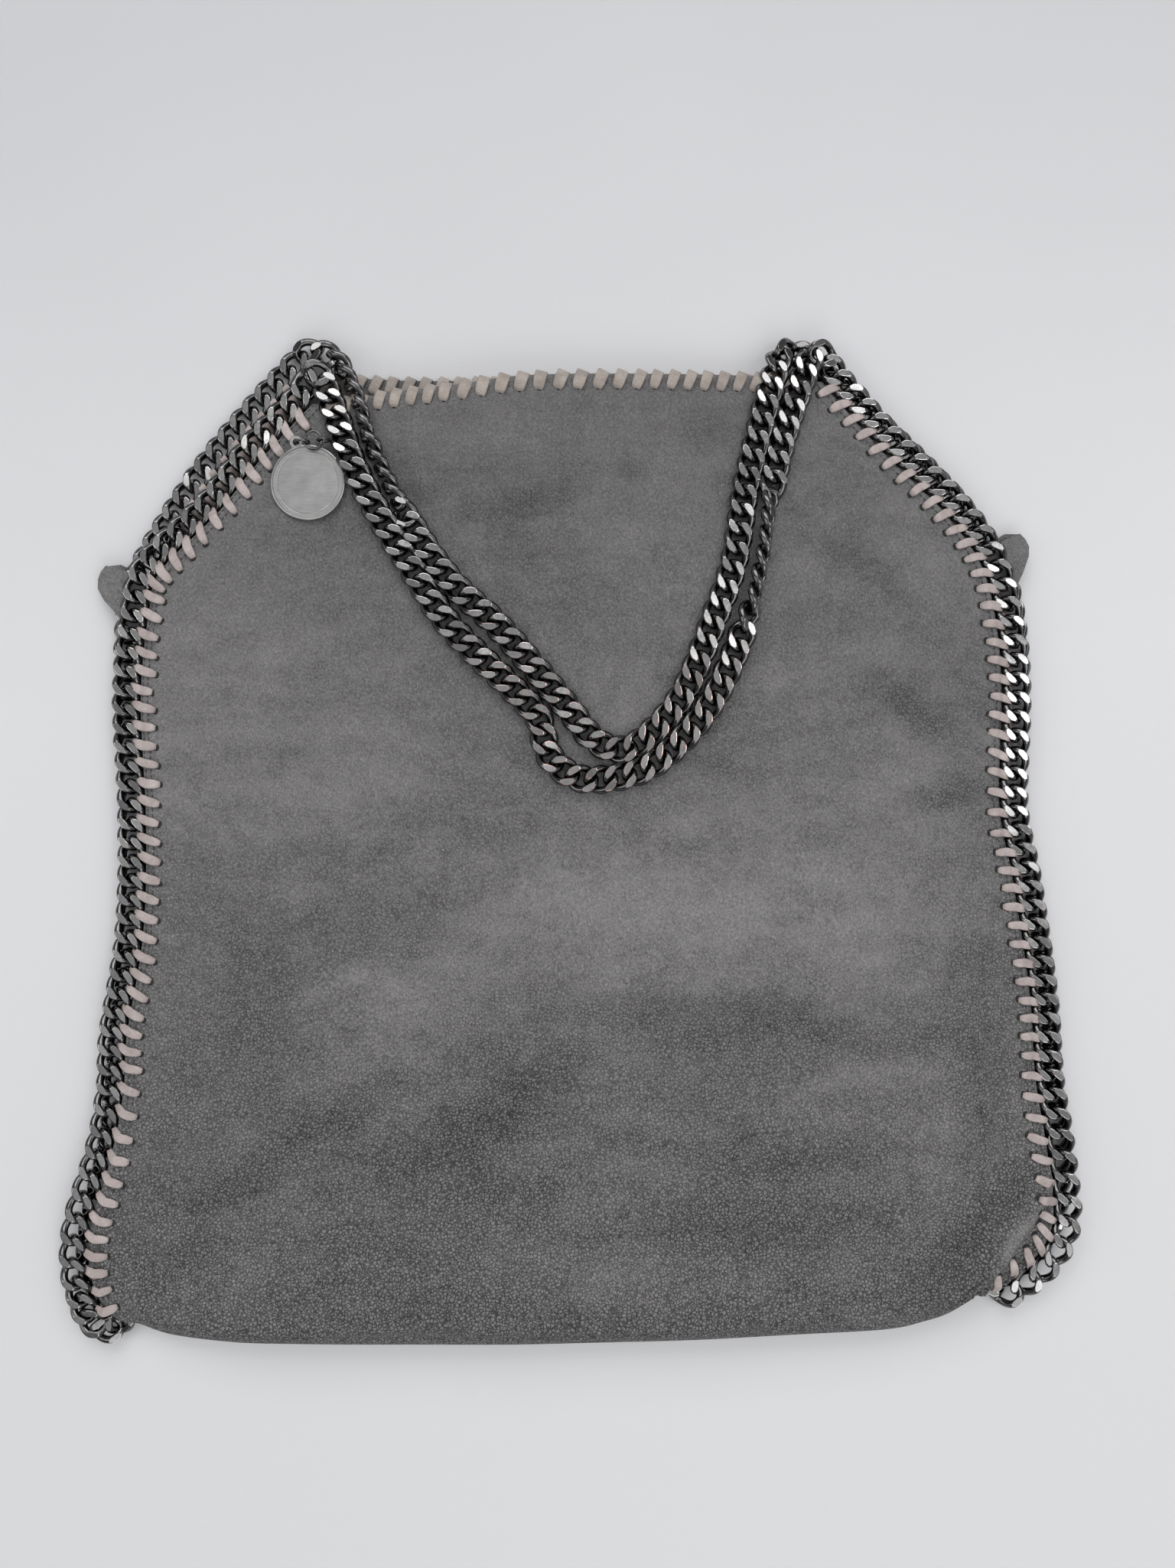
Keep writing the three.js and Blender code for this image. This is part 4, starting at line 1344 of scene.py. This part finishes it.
def make_linings(front_surface):
    rows, columns = 70, 70
    flat = shell_edges(FRONT_LEFT, FRONT_RIGHT, FRONT_MOUTH, LINING_MARGIN, rows, columns)
    flat[..., 1] = np.maximum(flat[..., 1], HINGE_Y + 2)
    tops = np.array([[front_surface.height(*p, FRONT_EDGE_Z + 1.4) for p in row] for row in flat])
    ripple = 0.15 * np.sin(flat[..., 0] / 13 + 1.2 * np.sin(flat[..., 1] / 31)) * np.sin(flat[..., 1] / 27)
    under = tops - PANEL_T - LINING_GAP - np.abs(ripple)
    front = cloth_piece("lining_front_sheet", np.dstack([flat, under]), LINING_T, "lining")
    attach(front, "front")
    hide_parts("front_lining")
    flat = shell_edges(BACK_LEFT, BACK_RIGHT, BACK_MOUTH, LINING_MARGIN, rows, columns)
    flat[..., 1] = np.maximum(flat[..., 1], HINGE_Y + 2)
    ripple = 0.13 * np.sin(flat[..., 0] / 15 + 1.1 * np.sin(flat[..., 1] / 33)) * np.sin(flat[..., 1] / 29)
    back = cloth_piece("lining_back_sheet", np.dstack([flat, BACK_LINING_TOP + ripple]), LINING_T, "lining")
    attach(back, "back")
    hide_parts("back_lining")


def box_mm(node):
    low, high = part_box(node)
    return np.array(low) / MM, np.array(high) / MM


def make_slip_pocket(front_surface):
    low, high = box_mm("slip_pocket")
    columns, rows = 50, 40
    x, y = np.meshgrid(np.linspace(low[0], high[0], columns), np.linspace(low[1], high[1], rows))
    tops = np.array([[front_surface.height(a, b) for a, b in zip(rx, ry)] for rx, ry in zip(x, y)])
    from_middle = 2 * (x - low[0]) / (high[0] - low[0]) - 1
    slack = 0.35 * np.exp(-(((y - high[1]) / 18) ** 2)) * (1 - from_middle**2)
    z = tops - PANEL_T - POCKET_GAP - slack
    pocket = cloth_piece("slip_pocket_sheet", np.dstack([x, y, z]), LINING_T, "lining")
    stitches = []
    left, right, bottom, hem = low[0] + 2, high[0] - 2, low[1] + 2, high[1] - 8
    edges = [[[left, high[1]], [left, bottom], [right, bottom], [right, high[1]]],
             [[low[0], hem], [high[0], hem]]]
    for corners in edges:
        for a, b in zip(corners, corners[1:]):
            a, b = np.array(a), np.array(b)
            count = int(np.linalg.norm(b - a) / 2.6)
            for k in range(count):
                spot = mix(a, b, (k + 0.5) / count)
                ground = front_surface.height(*spot) - PANEL_T - POCKET_GAP - LINING_T
                stitches.append(pebble([*spot, ground - 0.05], unit(b - a), 1.7, 0.4, 0.3, 6))
    thread = mesh_object("slip_pocket_thread", *merge(stitches), "thread")
    for piece in (pocket, thread):
        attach(piece, "front")
    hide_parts("slip_pocket")


def make_pouch():
    low, high = box_mm("zip_pocket_pouch")
    columns, rows = 46, 34
    x, y = np.meshgrid(np.linspace(low[0], high[0], columns), np.linspace(low[1], high[1], rows))
    ripple = 0.1 * np.sin(x / 11) * np.sin(y / 14)
    pouch = cloth_piece("pouch_sheet", np.dstack([x, y, POUCH_TOP + ripple]), 0.4, "lining")
    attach(pouch, "back")
    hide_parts("zip_pocket_pouch")


def plate(outline, low, high, bevel):
    """A flat piece with softened edges from an outline that runs anticlockwise."""
    outline = np.array(outline, float)
    middle = outline.mean(0)
    rings = []
    for z, inset in ((low, bevel), (low + bevel, 0), (high - bevel, 0), (high, bevel)):
        away = outline - middle
        shrunk = middle + away * (1 - inset / np.maximum(np.linalg.norm(away, axis=1, keepdims=True), 1e-6))
        rings.append(np.column_stack([shrunk, np.full(len(outline), z)]))
    n = len(outline)
    faces = [list(range(n))[::-1], [3 * n + k for k in range(n)]]
    for ring in range(3):
        for k in range(n):
            m = (k + 1) % n
            faces.append([ring * n + k, ring * n + m, (ring + 1) * n + m, (ring + 1) * n + k])
    return np.concatenate(rings), faces


def rounded_box(centre, size, radius, steps=5):
    outline = []
    for quarter, (sx, sy) in enumerate(((1, 1), (-1, 1), (-1, -1), (1, -1))):
        for angle in np.linspace(0, math.pi / 2, steps):
            turn = angle + quarter * math.pi / 2
            x = centre[0] + sx * (size[0] / 2 - radius) + radius * math.cos(turn)
            y = centre[1] + sy * (size[1] / 2 - radius) + radius * math.sin(turn)
            outline.append([x, y])
    return outline


def make_zip():
    for key in ("upper", "lower"):
        low, high = box_mm(f"zip_tape_{key}")
        columns, rows = 120, 8
        x, y = np.meshgrid(np.linspace(low[0], high[0], columns), np.linspace(low[1], high[1], rows))
        z = high[2] + 0.05 * np.sin(y * 2.4) + 0.06 * np.sin(x / 7)
        tape = cloth_piece(f"tape_{key}_strip", np.dstack([x, y, z]), 0.45, "zip_tape")
        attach(tape, "back")
        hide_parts(f"zip_tape_{key}")
        size = (high - low) * MM
    low, high = box_mm("zip_coil")
    middle_y, z = (low[1] + high[1]) / 2, (low[2] + high[2]) / 2
    teeth = []
    x = low[0]
    while x < high[0]:
        for side in (1, -1):
            angles = np.linspace(-2.2, 2.2, 8)
            start = x + (0.5 if side > 0 else 0)
            loop = [[start + 0.12 * math.sin(a), middle_y + side * (0.42 - 0.62 * math.cos(a)),
                     z + 0.28 * math.sin(a)] for a in angles]
            teeth.append(tube(loop, 0.17, 6))
        x += 1.05
    rigid = [("coil_teeth", teeth, "zip_coil")]
    for key in ("left", "right"):
        node = f"zip_stop_{key}"
        low, high = box_mm(node)
        centre, size = (low + high) / 2, high - low
        body = plate(rounded_box(centre[:2], size[:2], 0.6), low[2], high[2], 0.2)
        groove = tube([[centre[0], low[1], high[2] - 0.05], [centre[0], high[1], high[2] - 0.05]], 0.14, 6)
        rigid.append((f"{node}_crimp", [body, groove], node))
    for name, parts, node in rigid:
        piece = mesh_object(name, *merge(parts), "gunmetal")
        flat_shaded(piece)
        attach(piece, "back")
        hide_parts(node)


def flat_shaded(piece, angle=35):
    """Keeps a rigid piece's edges crisp."""
    piece.data.set_sharp_from_angle(angle=math.radians(angle))


def arc(x, y, radius, start, end, count):
    angles = np.linspace(start, end, count)
    return [[x + radius * math.cos(a), y + radius * math.sin(a)] for a in angles]


def make_slider():
    low, high = box_mm("zip_slider")
    centre, size = (low + high) / 2, high - low
    body = plate(rounded_box(centre[:2], size[:2], 1.6), low[2], high[2] - 0.55, 0.25)
    wing_outline = rounded_box(centre[:2] + [1.6, 0], [4.0, size[1] - 1.6], 1.2)
    wings = plate(wing_outline, high[2] - 0.8, high[2] - 0.25, 0.2)
    bridge = tube([[centre[0] - 2.9, centre[1], low[2] + 0.9], [centre[0] - 2.0, centre[1], high[2] - 0.35],
                   [centre[0], centre[1], high[2] - 0.28], [centre[0] + 2.0, centre[1], high[2] - 0.35],
                   [centre[0] + 2.9, centre[1], low[2] + 0.9]], 0.42, 8)
    slider = mesh_object("slider_body", *merge([body, wings, bridge]), "gunmetal")
    low, high = box_mm("zip_pull")
    x = (low[0] + high[0]) / 2
    neck, tip = high[1] - 2.2, low[1] + 3.0
    outline = arc(x, neck, 2.0, 0, math.pi, 12) + arc(x, tip, 2.9, math.pi, 2 * math.pi, 14)
    blade = plate(outline, low[2] + 0.05, high[2] - 0.12, 0.18)
    rim = Path([[*point, high[2] - 0.1] for point in [*outline, outline[0]]], 2)
    inner = rim.at(np.linspace(0, rim.length, 40, endpoint=False))
    middle = np.array([x, (neck + tip) / 2, 0])
    border = tube(middle + (inner - middle) * [0.86, 0.95, 1], 0.16, 6, closed=True)
    ring_points = [[x + 1.15 * math.cos(a), neck + 1.15 * math.sin(a), high[2] - 0.08]
                   for a in np.linspace(0, 2 * math.pi, 20, endpoint=False)]
    eye = tube(ring_points, 0.2, 6, closed=True)
    pull = mesh_object("pull_blade", *merge([blade, border, eye]), "gunmetal")
    for piece, body_name, node in ((slider, "zip_slider", "zip_slider"), (pull, "zip_pull", "zip_pull")):
        flat_shaded(piece)
        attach(piece, body_name)
        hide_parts(node)


def make_snap():
    low, high = box_mm("snap_socket")
    centre = (low + high) / 2
    r, t = (high[0] - low[0]) / 2, high[2] - low[2]
    profile = [[0.01, 0], [r - 0.3, 0], [r, 0.3], [r, 0.9], [r - 0.4, 1.2], [r - 1.6, 1.25], [r - 2.0, 1.0],
               [4.6, 0.95], [4.2, t - 0.25], [3.9, t], [2.2, t], [2.0, t - 0.3], [1.9, 0.8], [0.01, 0.8]]
    socket = placed(lathe(profile), (centre[0], centre[1], low[2]))
    low, high = box_mm("snap_stud")
    r, t = (high[0] - low[0]) / 2, high[2] - low[2]
    profile = [[0.01, t], [r - 0.3, t], [r, t - 0.3], [r, t - 0.8], [r - 0.5, t - 1.1], [2.4, t - 1.2],
               [2.1, 0.35], [1.8, 0.05], [0.01, 0.0]]
    stud = placed(lathe(profile[::-1]), (centre[0], centre[1], low[2]))
    for name, part, body, node in (("snap_socket_ring", socket, "back", "snap_socket"),
                                   ("snap_stud_button", stud, "front", "snap_stud")):
        piece = mesh_object(name, *part, "gunmetal")
        fix_normals(piece)
        flat_shaded(piece)
        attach(piece, body)
        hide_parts(node)


def fix_normals(piece):
    mesh = bmesh.new()
    mesh.from_mesh(piece.data)
    bmesh.ops.remove_doubles(mesh, verts=mesh.verts[:], dist=1e-6)
    bmesh.ops.recalc_face_normals(mesh, faces=mesh.faces[:])
    mesh.to_mesh(piece.data)
    mesh.free()


# ---- charm tag ----
def round_ring(centre, radius, wire, upright, tilt=0.0):
    angles = np.linspace(0, 2 * math.pi, 30, endpoint=False)
    if upright:
        points = np.stack([radius * np.cos(angles), tilt * np.sin(angles), radius * np.sin(angles)], -1)
    else:
        points = np.stack([radius * np.cos(angles), radius * np.sin(angles), tilt * np.cos(angles)], -1)
    return tube(points + np.array(centre), wire, 10, closed=True)


def make_tag():
    low, high = box_mm("tag_disc")
    t = high[2] - low[2]
    r = (high[0] - low[0]) / 2
    centre = np.array([(low[0] + high[0]) / 2, low[1] + r])
    face = 0.78
    profile = [[0.01, 0.12], [r - 0.6, 0.1], [r - 0.15, 0.16], [r, 0.4], [r, 0.72], [r - 0.12, 0.98],
               [r - 0.4, t], [r - 0.7, t - 0.04], [r - 0.9, face], [r - 2.2, face - 0.03],
               [r - 2.35, face - 0.12], [r - 2.55, face - 0.12], [r - 2.7, face - 0.03], [0.01, face]]
    disc = lathe(profile, 96)
    jump_low, jump_high = box_mm("tag_jump_ring")
    jump = (jump_low + jump_high) / 2
    ear_centre = np.array([jump[0] - 2.4, jump[1]]) - centre
    ear_profile = [[1.15, 0.15], [2.2, 0.12], [2.42, 0.35], [2.42, 0.7], [2.2, 0.92], [1.3, 0.92],
                   [1.12, 0.7], [1.08, 0.4]]
    ear = placed(lathe(ear_profile, 32), (*ear_centre, 0))
    neck_way = unit(ear_centre)
    across = np.array([-neck_way[1], neck_way[0]])
    neck = plate([neck_way * (r - 1.6) - across * 2.6, neck_way * (r + 0.4) - across * 2.2,
                  neck_way * (r + 0.4) + across * 2.2, neck_way * (r - 1.6) + across * 2.6], 0.14, 0.76, 0.1)
    vertices, faces = merge([disc, ear, neck])
    lean = Matrix.Rotation(math.radians(-2.6), 3, "Y") @ Matrix.Rotation(math.radians(1.2), 3, "X")
    vertices = vertices @ np.array(lean).T + np.array([*centre, low[2] - 0.1])
    tag = mesh_object("tag_plate", vertices, faces, "tag_silver")
    fix_normals(tag)
    flat_shaded(tag, 28)
    rings = []
    for node, body in (("tag_link", "front_handle"), ("tag_ring", "tag_ring"), ("tag_jump_ring", "tag_ring")):
        low, high = box_mm(node)
        middle = (low + high) / 2
        wire = 0.48 if node == "tag_ring" else 0.45
        radius = (high[0] - low[0]) / 2 - wire
        upright = node != "tag_ring"
        part = round_ring(middle, radius, wire, upright, 0.0 if upright else 0.35)
        rings.append((mesh_object(node + "_wire", *part, "gunmetal"), body, node))
    for piece, body, node in [(tag, "tag", "tag_disc"), *rings]:
        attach(piece, body)
        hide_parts(node)


def make_floor():
    size = 2500
    corners = [[-size, -size, 0], [size, -size, 0], [size, size, 0], [-size, size, 0]]
    floor = mesh_object("floor", corners, [[0, 1, 2, 3]], "floor")


# ---- making it all ----
make_camera()
make_studio()
suede_material()
lace_material("lacing", (0.34, 0.288, 0.272), (0.45, 0.388, 0.372), (0.52, 0.46, 0.44))
lace_material("lacing_mouth", (0.27, 0.235, 0.21), (0.36, 0.315, 0.283), (0.42, 0.375, 0.34))
hole_material()
thread_material()
gunmetal_material()
facet_material()
silver_material()
woven_material("lining", (0.18, 0.165, 0.155), (0.30, 0.28, 0.265), 2600)
woven_material("zip_tape", (0.10, 0.095, 0.09), (0.2, 0.19, 0.18), 3200)
floor_material()
LINK = curb_link()
make_floor()
front_sheet, front_upper = make_front()
make_back()
make_chains(front_upper)
front_mouth_line = Path(front_sheet[-1, ::4, :2])
back_edge = shell_edges(BACK_LEFT, BACK_RIGHT, BACK_MOUTH, EDGE_INSET, 3, 60)[-1]
make_lacing(front_upper, front_mouth_line, Path(back_edge[::3]))
make_gussets()
make_linings(front_upper)
make_slip_pocket(front_upper)
make_pouch()
make_zip()
make_slider()
make_snap()
make_tag()
